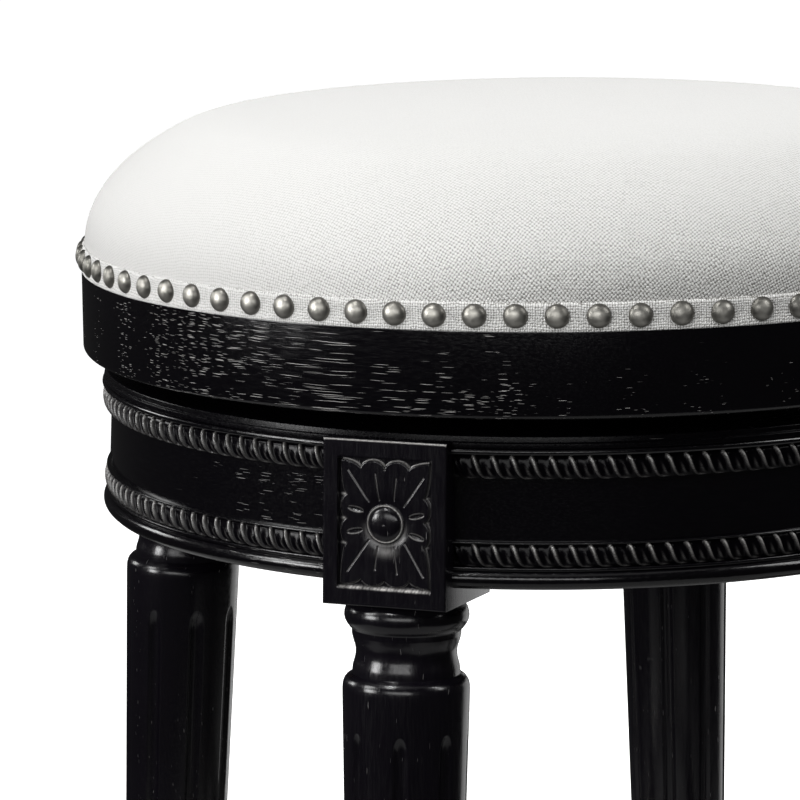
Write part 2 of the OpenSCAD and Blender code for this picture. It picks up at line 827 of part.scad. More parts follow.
module glides() {
    well_h = glide_h / 2;
    color("gray") for (k = [0:3]) quarter(k) glide_place() difference() {
        cylinder(h = glide_h, d = glide_d);
        translate([0, 0, -cut]) cylinder(h = well_h + cut, d = glide_head_d + 2 * fit);
        translate([0, 0, -cut]) cylinder(h = glide_h + 2 * cut, d = glide_nail_d);
    }
}

module glide_nails() {
    well_h = glide_h / 2;
    color(zinc) for (k = [0:3]) quarter(k) glide_place() {
        translate([0, 0, well_h - glide_head_h]) cylinder(h = glide_head_h, d = glide_head_d);
        translate([0, 0, well_h - glide_head_h / 2])
            cylinder(h = glide_h + glide_nail_l - well_h - cut, d = glide_nail_d);
    }
}

seat_cover();
seat_foam();
seat_band();
seat_nails();
seat_ring();
seat_board();
seat_board_screws();
bearing_top_plate();
bearing_top_screws();
bearing_cage();
bearing_balls();
bearing_bottom_plate();
bearing_bottom_screws();
king_pin();
base_top();
base_top_screws();
apron_rail(0);  // apron_rail_front_left
apron_rail(1);  // apron_rail_back_left
apron_rail(2);  // apron_rail_back_right
apron_rail(3);  // apron_rail_front_right
upper_rope();
lower_rope();
apron_dowels();
glue_blocks();
leg_front();
leg_left();
leg_back();
leg_right();
foot_rail(0);  // foot_rail_front_left
foot_rail(1);  // foot_rail_back_left
foot_rail(2);  // foot_rail_back_right
foot_rail(3);  // foot_rail_front_right
foot_dowels();
kick_plate(0);  // kick_plate_front_left
kick_plate(1);  // kick_plate_back_left
kick_plate(2);  // kick_plate_back_right
kick_plate(3);  // kick_plate_front_right
kick_plate_screws();
glides();
glide_nails();
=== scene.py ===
from functools import partial
from math import asin, cos, exp, hypot, pi, radians, sin, sqrt, tan

import bmesh
import bpy
import numpy as np
from mathutils import Matrix, Vector


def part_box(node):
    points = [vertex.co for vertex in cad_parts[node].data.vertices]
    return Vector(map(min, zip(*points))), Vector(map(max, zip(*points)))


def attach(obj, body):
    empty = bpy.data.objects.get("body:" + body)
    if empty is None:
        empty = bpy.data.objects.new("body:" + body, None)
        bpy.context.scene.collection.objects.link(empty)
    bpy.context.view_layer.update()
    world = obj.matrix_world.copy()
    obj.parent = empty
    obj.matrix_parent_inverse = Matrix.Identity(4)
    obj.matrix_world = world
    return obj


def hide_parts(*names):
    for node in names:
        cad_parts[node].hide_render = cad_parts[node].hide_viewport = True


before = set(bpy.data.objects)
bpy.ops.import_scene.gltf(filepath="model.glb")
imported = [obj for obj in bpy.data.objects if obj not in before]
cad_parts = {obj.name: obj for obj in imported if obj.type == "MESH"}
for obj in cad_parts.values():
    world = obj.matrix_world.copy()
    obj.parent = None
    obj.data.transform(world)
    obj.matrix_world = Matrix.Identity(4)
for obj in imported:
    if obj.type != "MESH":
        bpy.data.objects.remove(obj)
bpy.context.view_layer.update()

scene = bpy.context.scene
scene.view_settings.view_transform = "Standard"
MM = 0.001


def box_mm(name):
    """(low, high) of a CAD node along x, y and z, in millimetres to the micrometre."""
    return [(round(low / MM, 3), round(high / MM, 3)) for low, high in zip(*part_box(name))]


# Sizes in millimetres, from the frame where a node's box gives them: heights over the floor end in
# _Z, radii in _R, and heights up a leg's own axis in _U.
RIM_Z = box_mm("seat_cover")[2][0]
RING_Z = box_mm("seat_ring")[2][0]
BASE_Z = box_mm("base_top")[2][1]
FOOT_ROUND_Z, LIP_Z = box_mm("apron_rail_front_left")[2]
UPPER_ROPE_Z = sum(box_mm("upper_rope")[2]) / 2
LOWER_ROPE_Z = sum(box_mm("lower_rope")[2]) / 2
ROPE_H = 10.4
BEAD_Z = UPPER_ROPE_Z + 5.5
FRIEZE_Z = LOWER_ROPE_Z + 6.3
ROUND_Z = LOWER_ROPE_Z - ROPE_H / 2
SEAT_R = box_mm("seat_ring")[0][1]
RING_IN_R = SEAT_R - 24.0
SHOULDER_R = SEAT_R - 3.4
SHOULDER_H = 12.0
BAND_R = box_mm("seat_band")[0][1]
FRIEZE_R = 215.8
LIP_R = FRIEZE_R + 3.2
ROPE_OUT_R = FRIEZE_R + 3.9
RAIL_IN_R = FRIEZE_R - 20.0
BLOCK_W = 2 * box_mm("leg_front")[0][1]
BLOCK_L = 74.5
GLIDE_H = box_mm("leg_front")[2][0]
KNEE_W = -2 * box_mm("foot_rail_front_left")[0][1]
SPLAY = radians(2.86)
LEG_FLOOR_R = 226.21
BLOCK_U = 553.83
SHAFT_LOW_U = 314.32
KNEE_TOP_U = SHAFT_LOW_U - 28.0
KNEE_LOW_U = KNEE_TOP_U - 62.0
FOOT_RAIL_LOW_Z, FOOT_RAIL_TOP_Z = box_mm("foot_rail_front_left")[2]
FOOT_RING_R = 213.49
FOOT_RAIL_W = 24.0
NAILS = 78
NAIL_TURN = 1.565
NAIL_Z = sum(box_mm("seat_nails")[2]) / 2
NAIL_R = 5.5
NAIL_DOME = 3.6


# Mesh helpers: points are in millimetres, and become metres in add_mesh and woven

def link_object(name, data):
    obj = bpy.data.objects.new(name, data)
    scene.collection.objects.link(obj)
    return obj


def clean(mesh, distance):
    """Joins the points that lie within distance, in metres, and turns the faces outward."""
    bm = bmesh.new()
    bm.from_mesh(mesh)
    bmesh.ops.remove_doubles(bm, verts=bm.verts, dist=distance)
    bmesh.ops.recalc_face_normals(bm, faces=bm.faces)
    bm.to_mesh(mesh)
    bm.free()


def add_mesh(name, points, faces, body, material, replaces, slot="ebonised_wood", sharp=None,
             wax_and_highlight=None, rim=None):
    mesh = bpy.data.meshes.new(name)
    pts = np.asarray(points, float) * MM
    mesh.from_pydata(pts.tolist(), [], [tuple(int(i) for i in f) for f in faces])
    for key, values in (("wax_and_highlight", wax_and_highlight), ("rim", rim)):
        if values is not None:
            layer = mesh.attributes.new(key, "FLOAT", "POINT")
            layer.data.foreach_set("value", np.asarray(values, float))
    clean(mesh, 1e-6)
    mesh.shade_smooth()
    if sharp:
        mesh.set_sharp_from_angle(angle=radians(sharp))
    mesh.materials.append(material)
    obj = link_object(name, mesh)
    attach(obj, body)
    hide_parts(*replaces)


def woven(name, points, faces, uvs, material, closed=False):
    """Object with the UV map, in millimetres, that the weave reads."""
    mesh = bpy.data.meshes.new(name)
    mesh.from_pydata((np.array(points) * MM).tolist(), [], faces)
    layer = mesh.uv_layers.new(name="Weave")
    corners = np.empty(len(mesh.loops), int)
    mesh.loops.foreach_get("vertex_index", corners)
    layer.data.foreach_set("uv", np.array(uvs)[corners].ravel())
    mesh.materials.append(material)
    if closed:
        clean(mesh, 1e-7)
    mesh.shade_smooth()
    return link_object(name, mesh)


def grid_faces(rows, cols, wrap_rows=False, wrap_cols=False, start=0):
    out = []
    for i in range(rows if wrap_rows else rows - 1):
        a = start + i * cols
        b = start + ((i + 1) % rows) * cols
        for j in range(cols if wrap_cols else cols - 1):
            k = (j + 1) % cols
            out.append((a + j, a + k, b + k, b + j))
    return out


def fillet(points, steps=5):
    """Rounds the corners of a closed outline of (x, z, radius)."""
    out = []
    n = len(points)
    for i, (x, z, r) in enumerate(points):
        p = Vector((x, z))
        if r <= 0:
            out.append(tuple(p))
            continue
        a = (Vector(points[i - 1][:2]) - p).normalized()
        b = (Vector(points[(i + 1) % n][:2]) - p).normalized()
        half = a.angle(b) / 2
        reach = r / tan(half)
        centre = p + (a + b).normalized() * (r / sin(half))
        s = p + a * reach - centre
        e = p + b * reach - centre
        turn = s.angle_signed(e)
        for k in range(steps + 1):
            t = -turn * k / steps
            out.append((centre.x + s.x * cos(t) - s.y * sin(t),
                        centre.y + s.x * sin(t) + s.y * cos(t)))
    return out


def spline(points, steps=8):
    """Smooth curve through points."""
    p = [Vector(q) for q in points]
    out = []
    for i in range(len(p) - 1):
        p0 = p[max(i - 1, 0)]
        p1, p2 = p[i], p[i + 1]
        p3 = p[min(i + 2, len(p) - 1)]
        for k in range(steps):
            t = k / steps
            square = (2 * p0 - 5 * p1 + 4 * p2 - p3) * t * t
            cube = (3 * p1 - p0 - 3 * p2 + p3) * t * t * t
            out.append(tuple(0.5 * ((2 * p1) + (p2 - p0) * t + square + cube)))
    out.append(tuple(p[-1]))
    return out


def arc(cx, cz, rx, rz, a0, a1, n):
    """Points of an ellipse's arc between two angles in degrees."""
    angles = [radians(a0 + (a1 - a0) * i / n) for i in range(n + 1)]
    return [(cx + rx * cos(a), cz + rz * sin(a)) for a in angles]


def circle(n):
    return np.arange(n) * 2 * pi / n


def hoop(r, a, z):
    """Points at radius r and height z, turned by the angles a from the front."""
    return np.stack([r * np.sin(a), -r * np.cos(a), np.full(len(a), z)], 1)


def lathe(name, section, body, material, n, closed=True, **kw):
    """Revolves a section of (r, z) about the Z axis."""
    pts = np.concatenate([hoop(r, circle(n), z) for r, z in section])
    add_mesh(name, pts, grid_faces(len(section), n, closed, True), body, material, **kw)


def rail(name, k, section, gap, body, material, n, **kw):
    """Revolves a closed section between the side planes of two leg blocks of width gap."""
    pts = []
    m = len(section)
    for r, z in section:
        edge = asin(gap / 2 / r)
        a = edge + (pi / 2 - 2 * edge) * np.arange(n + 1) / n + k * pi / 2
        pts.append(hoop(r, -a, z))
    faces = grid_faces(m, n + 1, True, False)
    faces.append(tuple(i * (n + 1) for i in range(m)))
    faces.append(tuple(i * (n + 1) + n for i in reversed(range(m))))
    add_mesh(name, np.concatenate(pts), faces, body, material, **kw)


def leg_to_world(p, k):
    """From a leg's own frame, x across, -y outward and u up its axis, to the row's frame."""
    p = np.asarray(p, float)
    x = p[:, 0]
    y = p[:, 1] * cos(SPLAY) + p[:, 2] * sin(SPLAY) - LEG_FLOOR_R
    z = -p[:, 1] * sin(SPLAY) + p[:, 2] * cos(SPLAY)
    c, s = [(1, 0), (0, -1), (-1, 0), (0, 1)][k]
    return np.stack([x * c - y * s, x * s + y * c, z], 1)


def smooth(v):
    v = np.clip(v, 0, 1)
    return v * v * (3 - 2 * v)


# Materials

# Cloth colours: the crown and side colours are painted light and shade, and the dark one is painted shade
# in the weave's pits
CLOTH_LIGHT = (0.875, 0.87, 0.852)
CLOTH_PIT_PAINTED_SHADE = (0.13, 0.125, 0.105)
CLOTH_CROWN_PAINTED_LIGHT = (0.735, 0.731, 0.718)
CLOTH_SIDE_PAINTED_SHADE = (0.54, 0.535, 0.524)
CLOTH_SHADOW = (0.03, 0.03, 0.025)
# Share of the weave's relief, and of the painted shade in its pits, that is left on the crown, and the side
# where they show most
CROWN_RELIEF = 0.12
SHOWN_SIDE = (0.945, 0.328)
# colour of the wax in the pores, also used for painted highlights
WAX_AND_HIGHLIGHT = (0.62, 0.60, 0.58)
STAIN_DARK = (0.0008, 0.0006, 0.0011)
STAIN_LIGHT = (0.0020, 0.0016, 0.0027)


def new_material(name):
    """A material, its node tree and its shader."""
    m = bpy.data.materials.new(name)
    m.use_nodes = True
    return m, m.node_tree, m.node_tree.nodes["Principled BSDF"]


def feed(tree, socket, v):
    """Links a node's socket, or sets it to a constant."""
    if isinstance(v, bpy.types.NodeSocket):
        tree.links.new(v, socket)
    else:
        socket.default_value = v


def math_node(tree, op, *values):
    n = tree.nodes.new("ShaderNodeMath")
    n.operation = op
    for socket, v in zip(n.inputs, values):
        feed(tree, socket, v)
    return n.outputs[0]


def plus(tree, a, b):
    return math_node(tree, "ADD", a, b)


def minus(tree, a, b):
    return math_node(tree, "SUBTRACT", a, b)


def times(tree, a, b):
    return math_node(tree, "MULTIPLY", a, b)


def vec_node(tree, op, a, b):
    n = tree.nodes.new("ShaderNodeVectorMath")
    n.operation = op
    feed(tree, n.inputs[0], a)
    feed(tree, n.inputs[1], b)
    return n.outputs[0]


def scaled(tree, vector, factors):
    return vec_node(tree, "MULTIPLY", vector, factors)


def noise_node(tree, vector, scale, detail=2.0, rough=0.5):
    n = tree.nodes.new("ShaderNodeTexNoise")
    n.inputs["Scale"].default_value = scale
    n.inputs["Detail"].default_value = detail
    n.inputs["Roughness"].default_value = rough
    tree.links.new(vector, n.inputs["Vector"])
    return n


def noise(tree, vector, scale, detail, rough):
    return noise_node(tree, vector, scale, detail, rough).outputs["Fac"]


def noise_colour(tree, vector, scale):
    return noise_node(tree, vector, scale).outputs["Color"]


def ramp(tree, value, low, high, to_low=0.0, to_high=1.0, kind="SMOOTHSTEP"):
    n = tree.nodes.new("ShaderNodeMapRange")
    n.interpolation_type = kind
    n.clamp = True
    tree.links.new(value, n.inputs["Value"])
    for key, v in (("From Min", low), ("From Max", high), ("To Min", to_low), ("To Max", to_high)):
        n.inputs[key].default_value = v
    return n.outputs["Result"]


def mix_colour(tree, fac, a, b):
    n = tree.nodes.new("ShaderNodeMix")
    n.data_type = "RGBA"
    tree.links.new(fac, n.inputs["Factor"])
    for v, i in ((a, 6), (b, 7)):
        feed(tree, n.inputs[i], v if isinstance(v, bpy.types.NodeSocket) else (*v, 1))
    return n.outputs[2]


def bump(tree, height, distance, strength):
    n = tree.nodes.new("ShaderNodeBump")
    n.inputs["Distance"].default_value = distance
    feed(tree, n.inputs["Strength"], strength)
    tree.links.new(height, n.inputs["Height"])
    return n.outputs["Normal"]


def position(tree):
    """Place in the object's own coordinates, which are the row's frame, in metres."""
    return tree.nodes.new("ShaderNodeTexCoord").outputs["Object"]


def coordinate(tree, vector, axis):
    split = tree.nodes.new("ShaderNodeSeparateXYZ")
    tree.links.new(vector, split.inputs[0])
    return split.outputs[axis]


def attribute(tree, name):
    n = tree.nodes.new("ShaderNodeAttribute")
    n.attribute_name = name
    return n.outputs["Fac"]


def ring_grain(tree, parts, turn):
    """Coordinates along straight boards that a ring is cut from: x runs along the grain."""
    back = times(tree, coordinate(tree, position(tree), "Y"), -1.0)
    angle = math_node(tree, "ARCTAN2", coordinate(tree, position(tree), "X"), back)
    step = 2 * pi / parts
    share = math_node(tree, "DIVIDE", plus(tree, angle, turn), step)
    index = math_node(tree, "ROUND", share)
    mid = minus(tree, times(tree, index, step), turn)
    rot = tree.nodes.new("ShaderNodeVectorRotate")
    rot.rotation_type = "Z_AXIS"
    tree.links.new(position(tree), rot.inputs["Vector"])
    tree.links.new(times(tree, mid, -1.0), rot.inputs["Angle"])
    # each board has a figure of its own
    shift = tree.nodes.new("ShaderNodeCombineXYZ")
    tree.links.new(times(tree, index, 0.37), shift.inputs["Z"])
    return vec_node(tree, "ADD", rot.outputs["Vector"], shift.outputs[0])


def leg_grain(tree, k):
    """Coordinates in a leg's own frame, with x along the grain."""
    m = tree.nodes.new("ShaderNodeMapping")
    m.vector_type = "POINT"
    # the leg's axis is turned on to X
    m.inputs["Rotation"].default_value = (0.0, radians(90), radians(90 * k))
    m.inputs["Location"].default_value = (0.0, 0.11 * k, 0.07 * k)
    tree.links.new(position(tree), m.inputs["Vector"])
    return m.outputs[0]


def patch_share(t, board, start, end, before, after):
    """Share of the flecks along a board: before, then all from start to end, then after."""
    rise = ramp(t, board, start - 0.06, start + 0.03, before, 1.0)
    # past the patch the flecks keep to the ring's lower half
    height = coordinate(t, position(t), "Z")
    half = ramp(t, height, (RING_Z + 16) * MM, (RING_Z + 26) * MM, after, 0.15 * after)
    fade = ramp(t, board, end, end + 0.045, 1.0, 0.0)
    past = times(t, half, minus(t, 1.0, fade))
    fall = plus(t, fade, past)
    last = ramp(t, board, end + 0.085, end + 0.12, 1.0, 0.12)
    return times(t, rise, times(t, fall, last))


def ebony(name, grain, flecks, level, long=26.0, deep=3.5, thick=0.47, gloss=0.16, patch=None,
          black=1.0, shine=0.5, hollows=False):
    """Black stained wood with white wax left in its pores, and with the wax and painted highlights that the
    mesh's attribute marks.

    flecks is the share of the cells that hold a waxed pore, level how white the wax is, and long,
    deep and thick are the cells' sizes in millimetres along and across the grain. patch gives the
    metres along a board between which it has the most flecks, and the share before and after.
    gloss is the roughness, black scales the stain, and hollows dulls what the attribute leaves unmarked.
    """
    m, t, b = new_material(name)
    g = grain(t)
    cells = t.nodes.new("ShaderNodeTexVoronoi")
    cells.inputs["Scale"].default_value = 1.0
    cells.inputs["Randomness"].default_value = 1.0
    stray = scaled(t, noise_colour(t, g, 60.0), (0.0, 0.0012, 0.0012))
    stretch = (1000 / long, 1000 / deep, 1000 / thick)
    t.links.new(scaled(t, vec_node(t, "ADD", g, stray), stretch), cells.inputs["Vector"])
    chance = t.nodes.new("ShaderNodeSeparateColor")
    t.links.new(cells.outputs["Color"], chance.inputs[0])
    # flecks come in groups
    groups = noise(t, scaled(t, g, (9.0, 14.0, 170.0)), 1.0, 2.0, 0.5)
    share = ramp(t, groups, 0.28, 0.54, 0.0, flecks)
    if patch:
        share = times(t, share, patch_share(t, coordinate(t, g, "X"), *patch))
    here = ramp(t, minus(t, share, chance.outputs[0]), 0.0, 0.08)
    size = ramp(t, chance.outputs[1], 0.0, 1.0, 0.14, 0.36)
    inside = minus(t, size, cells.outputs["Distance"])
    fleck = times(t, here, ramp(t, inside, 0.0, 0.10))
    # colour: stain, then the wax of the flecks, and the attribute's marks, which are wax in the carving and
    # painted highlights on edges and crests
    fine = noise(t, scaled(t, g, (70.0, 1300.0, 1300.0)), 1.0, 3.0, 0.6)
    stain = mix_colour(t, noise(t, g, 14.0, 2.0, 0.5), [black * c for c in STAIN_DARK],
                       [black * c for c in STAIN_LIGHT])
    bright = times(t, fleck, ramp(t, chance.outputs[2], 0.0, 1.0, 0.35 * level, level))
    # the attribute's marks, partly wax and partly painted highlight, broken up by the fine noise
    held = attribute(t, "wax_and_highlight")
    surface_marks = times(t, held, ramp(t, fine, 0.25, 0.55, 0.35, 1.0))
    t.links.new(mix_colour(t, math_node(t, "MAXIMUM", bright, surface_marks), stain, WAX_AND_HIGHLIGHT), b.inputs["Base Color"])
    # gloss, and the open pores in the relief
    smear = times(t, fleck, 0.35)
    rough = plus(t, ramp(t, fine, 0.3, 0.7, gloss - 0.04, gloss + 0.08), smear)
    t.links.new(rough, b.inputs["Roughness"])
    open_here = plus(t, times(t, here, 0.85), 0.15)
    pores = times(t, ramp(t, inside, -0.05, 0.12), open_here)
    height = minus(t, times(t, fine, 0.5), times(t, pores, 0.5))
    t.links.new(bump(t, height, 0.00006, 1.0), b.inputs["Normal"])
    b.inputs["IOR"].default_value = 1.52
    b.inputs["Specular IOR Level"].default_value = shine
    if hollows:
        # the hollows between the crests that carry painted highlights are dull
        t.links.new(ramp(t, held, 0.0, 0.22, 0.1, 0.6), b.inputs["Specular IOR Level"])
    return m


def linen(name, pitch=1.457, slant=True, relief=None):
    """Plain weave with painted shade in its pits, on a plain colour painted lighter on the crown and darker
    down the side; unless its relief is given, it is calmer on the crown and on one side.
    """
    m, t, b = new_material(name)
    tex = t.nodes.new("ShaderNodeUVMap")
    tex.uv_map = "Weave"
    p = tex.outputs[0]
    # the threads wander slowly, and a little at each crossing
    threads = p
    for scale, reach in ((0.07, 3.0), (0.9, 0.95)):
        shift = vec_node(t, "SUBTRACT", noise_colour(t, p, scale), (0.5, 0.5, 0.5))
        threads = vec_node(t, "ADD", threads, scaled(t, shift, (reach, reach, 0.0)))
    w = pi / pitch
    warp, weft = coordinate(t, threads, "X"), coordinate(t, threads, "Y")
    if slant:
        w = w / sqrt(2)
        warp, weft = plus(t, warp, weft), minus(t, warp, weft)
    cell = times(t, math_node(t, "SINE", times(t, warp, w)), math_node(t, "SINE", times(t, weft, w)))
    over = math_node(t, "POWER", math_node(t, "MAXIMUM", cell, 0.0), 0.8)
    under = math_node(t, "POWER", math_node(t, "MAXIMUM", times(t, cell, -1.0), 0.0), 0.8)
    thick_u = noise(t, scaled(t, p, (0.95, 0.05, 1.0)), 1.0, 2.0, 0.6)
    thick_v = noise(t, scaled(t, p, (0.05, 0.95, 1.0)), 1.0, 2.0, 0.6)
    raised = times(t, over, ramp(t, thick_u, 0.3, 0.7, 0.65, 1.3))
    weave = plus(t, raised, times(t, under, ramp(t, thick_v, 0.3, 0.7, 0.1, 0.6)))
    height = plus(t, weave, times(t, noise(t, p, 1.4, 3.0, 0.65), 0.5))
    # where the relief and the painted shade in the weave's pits show: 1 at the foot, least on the crown,
    # and less on one side
    z = coordinate(t, position(t), "Z")
    lower = ramp(t, z, (RIM_Z + 16) * MM, (RIM_Z + 78) * MM, 1.0, 0.0, "LINEAR")
    across = plus(t, times(t, coordinate(t, position(t), "X"), SHOWN_SIDE[0]),
                  times(t, coordinate(t, position(t), "Y"), SHOWN_SIDE[1]))
    if relief:
        shown = ramp(t, across, -0.19, 0.0, 0.4 * relief, relief)
    else:
        shown = plus(t, times(t, lower, 1.0 - CROWN_RELIEF), CROWN_RELIEF)
        shown = times(t, shown, ramp(t, across, -0.19, 0.0, 0.12, 1.0))
    open_weave = plus(t, raised, times(t, under, ramp(t, thick_v, 0.3, 0.7, 0.45, 0.95)))
    shade = ramp(t, plus(t, open_weave, times(t, noise(t, p, 0.8, 2.0, 0.6), 0.5)), 0.27, 0.61)
    # painted light and shade: the plain cloth is lighter on the crown and darker down the side, and the
    # weave has painted shade in its pits
    colour = mix_colour(t, shown, mix_colour(t, lower, CLOTH_CROWN_PAINTED_LIGHT, CLOTH_SIDE_PAINTED_SHADE),
                        mix_colour(t, shade, CLOTH_PIT_PAINTED_SHADE, CLOTH_LIGHT))
    if not relief:
        # the cloth is a little darker just over the strip
        foot = ramp(t, z, (RIM_Z + 12) * MM, (RIM_Z + 38) * MM, 0.28, 0.0)
        colour = mix_colour(t, times(t, foot, ramp(t, across, -0.08, 0.05)), colour, CLOTH_SHADOW)
    t.links.new(colour, b.inputs["Base Color"])
    t.links.new(bump(t, height, 0.00045, shown), b.inputs["Normal"])
    b.inputs["Roughness"].default_value = 0.9
    b.inputs["Specular IOR Level"].default_value = 0.15
    b.inputs["Sheen Weight"].default_value = 0.08
    b.inputs["Sheen Roughness"].default_value = 0.5
    return m


def metal(name, light, dark, rough, scale=90.0, dirt=0.5, metallic=1.0):
    """Metal with patches of dirt, and darkened where the attribute rim says: painted shade towards a nail
    head's edge, partly patina.
    """
    m, t, b = new_material(name)
    p = position(t)
    fine = noise(t, p, scale * 6, 2.0, 0.5)
    patches = ramp(t, noise(t, p, scale, 4.0, 0.6), 0.35, 0.65, 0.0, 1.0)
    surface_marks = mix_colour(t, times(t, patches, dirt), light, dark)
    # painted shade with some patina: the head darkens towards its edge, standing in for the darker
    # reflection there
    patina_and_edge_shade = mix_colour(t, times(t, attribute(t, "rim"), 0.92), surface_marks, [c * 0.2 for c in dark])
    t.links.new(patina_and_edge_shade, b.inputs["Base Color"])
    t.links.new(ramp(t, fine, 0.3, 0.7, rough - 0.05, rough + 0.08), b.inputs["Roughness"])
    t.links.new(bump(t, fine, 0.00005, 0.5), b.inputs["Normal"])
    b.inputs["Metallic"].default_value = metallic
    return m


def bare_wood(name, light, dark, layers=False):
    """Unfinished wood, or plywood where it has layers."""
    m, t, b = new_material(name)
    p = position(t)
    grain = noise(t, scaled(t, p, (14.0, 160.0, 160.0)), 1.0, 4.0, 0.6)
    if layers:
        ply = math_node(t, "PINGPONG", coordinate(t, p, "Z"), 0.0026)
        grain = plus(t, times(t, grain, 0.7), times(t, ply, 120.0))
    t.links.new(mix_colour(t, ramp(t, grain, 0.3, 0.75), dark, light), b.inputs["Base Color"])
    t.links.new(bump(t, grain, 0.0001, 0.5), b.inputs["Normal"])
    b.inputs["Roughness"].default_value = 0.65
    return m


def plastic(name, colour, rough):
    m, t, b = new_material(name)
    fine = noise(t, position(t), 400.0, 2.0, 0.5)
    t.links.new(mix_colour(t, fine, [c * 0.85 for c in colour], colour), b.inputs["Base Color"])
    t.links.new(bump(t, fine, 0.00003, 0.5), b.inputs["Normal"])
    b.inputs["Roughness"].default_value = rough
    return m


# The rails and the base top are cut from four boards that meet in the legs
QUARTERS = partial(ring_grain, parts=4, turn=pi / 4)
wood_ring = ebony("wood_ring", partial(ring_grain, parts=3, turn=0.12), flecks=1.0, level=0.68,
                  deep=2.5, thick=0.35, patch=(-0.09, -0.01, 0.08, 0.9))
# the frieze's flecks gather in a patch along each board: partly wax, partly painted glints of light on the
# grain
wood_frieze = ebony("wood_frieze", QUARTERS, flecks=0.4, level=0.34, long=14.0, deep=5.0, thick=0.32,
                    patch=(0.095, 0.15, 0.03, 0.03))
wood_plain = ebony("wood_plain", QUARTERS, flecks=0.05, level=0.2)
wood_top = ebony("wood_top", QUARTERS, flecks=0.05, level=0.2, gloss=0.24, shine=0.15)
wood_rope = ebony("wood_rope", QUARTERS, flecks=0.0, level=0.0, hollows=True)
# the legs' stain is lighter than the other wood's, standing in for the light they catch: painted light
wood_legs = [ebony("wood_leg_%d" % k, partial(leg_grain, k=k), flecks=0.08, level=0.25, long=6.0,
                   gloss=0.19, black=2.1) for k in range(4)]
cloth = linen("linen")
strip_cloth = linen("linen_strip", pitch=1.15, slant=False, relief=0.85)
pewter = metal("pewter", (0.84, 0.82, 0.755), (0.64, 0.62, 0.56), 0.42, metallic=0.95)
zinc = metal("zinc", (0.62, 0.62, 0.60), (0.45, 0.45, 0.44), 0.3)
steel = metal("ball_steel", (0.75, 0.75, 0.75), (0.6, 0.6, 0.6), 0.12)
beech = bare_wood("beech", (0.62, 0.45, 0.28), (0.45, 0.30, 0.17))
# the plywood is coloured near black: painted shade where it shows in the gap under the seat ring
plywood = bare_wood("plywood", (0.035, 0.03, 0.027), (0.012, 0.01, 0.009), layers=True)
nylon = plastic("nylon", (0.20, 0.19, 0.18), 0.5)
cage_plastic = plastic("cage_plastic", (0.5, 0.38, 0.2), 0.45)

# Cushion, strip and nails

# (radius, height over the rim) from the crown's middle down to the foot
CROWN = [(0, 82.0), (30, 81.7), (60, 80.8), (95, 79.0), (125, 76.9), (145, 75.0), (160, 73.2),
         (174, 69.9), (184, 65.4), (193, 60.3), (201, 55.0), (208.5, 48.9), (214.5, 42.6),
         (219.6, 35.8), (223.3, 29.0), (225.7, 22.0), (226.9, 15.0), (227.2, 8.0), (226.9, 3.0),
         (226.5, 0.6)]
# The cloth's threads are turned by this about the seat's axis
WEAVE_TURN = radians(22)


def nail_drift(a):
    """Angle by which the nails, set by hand, stray from even spacing at azimuth a."""
    return -1.35 / BAND_R * sin(4 * (a - radians(8.15)))


def nail_wave(a):
    """Wave that is 1 at each nail and -1 halfway between two."""
    return cos(NAILS * (a - nail_drift(a) - radians(NAIL_TURN)))


def build_cushion():
    """Cover over its foam, with its foot turned under."""
    prof = spline(CROWN, 8)
    run = [0.0]
    for a, b in zip(prof, prof[1:]):
        run.append(run[-1] + hypot(b[0] - a[0], b[1] - a[1]))
    sides = 6 * NAILS
    around = circle(sides)
    pts, uvs = [], []

    def put(r, z, s, a):
        pts.append((r * sin(a), -r * cos(a), RIM_Z + z))
        uvs.append((s * sin(a - WEAVE_TURN), s * cos(a - WEAVE_TURN)))

    for (r, z), s in zip(prof, run):
        for a in around:
            # the cloth pulls in at the nails, and swells a little above and between them
            pulled = 0.35 * exp(-((z - 6.5) / 7.0) ** 2)
            pulled += 0.18 * exp(-((z - 17.0) / 6.0) ** 2) * (0.5 + 0.5 * nail_wave(a))
            slack = 0.35 * sin(3 * a + 0.7) * sin(pi * min(1.0, z / 70)) * (r / 226)
            put(r - pulled + slack, z, s, a)
    # under the foot, so that the form is closed
    foot_r = prof[-1][0]
    for r in (foot_r - 0.9, foot_r - 6.0, 0.0):
        for a in around:
            put(r, 0.35, run[-1], a)
    faces = grid_faces(len(pts) // sides, sides, False, True)
    obj = woven("seat_cushion", pts, faces, uvs, cloth, closed=True)
    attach(obj, "seat")
    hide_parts("seat_cover", "seat_foam")


def build_band():
    """Folded linen strip under the nails, pressed in at each."""
    top, out = 12.4, 1.45
    # (distance out, height over the rim); the foot laps a little over the ring's edge
    section = [(-0.5, 0.3), (1.3, -0.25), (1.85, -0.4), (2.05, 0.0), (1.95, 1.1), (1.65, 2.8),
               (out, 4.6), (out - 0.05, 6.5), (out, 9.0), (out, top - 1.8), (1.15, top - 0.7),
               (0.75, top - 0.15), (0.2, top - 0.2), (-0.5, top - 0.6)]
    sides = 12 * NAILS
    pts, uvs = [], []
    for d, z in section:
        for j in range(sides + 1):
            a = pi + 2 * pi * j / sides
            press, waver = 0.0, 0.0
            if d > 0.5:
                press = -0.28 * (0.5 + 0.5 * nail_wave(a)) ** 3 * exp(-((z - 6.5) / 5.0) ** 2)
            if d > 0.5 and z > 10:
                waver = 0.16 * sin(37 * a + 1.3) + 0.1 * sin(91 * a)
            r = BAND_R - 0.85 + d + press
            pts.append((r * sin(a), -r * cos(a), RIM_Z + z + waver))
            uvs.append((a * BAND_R, z + 0.8 * d))
    faces = grid_faces(len(section), sides + 1, True, False)
    obj = woven("cover_strip", pts, faces, uvs, strip_cloth)
    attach(obj, "seat")
    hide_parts("seat_band")


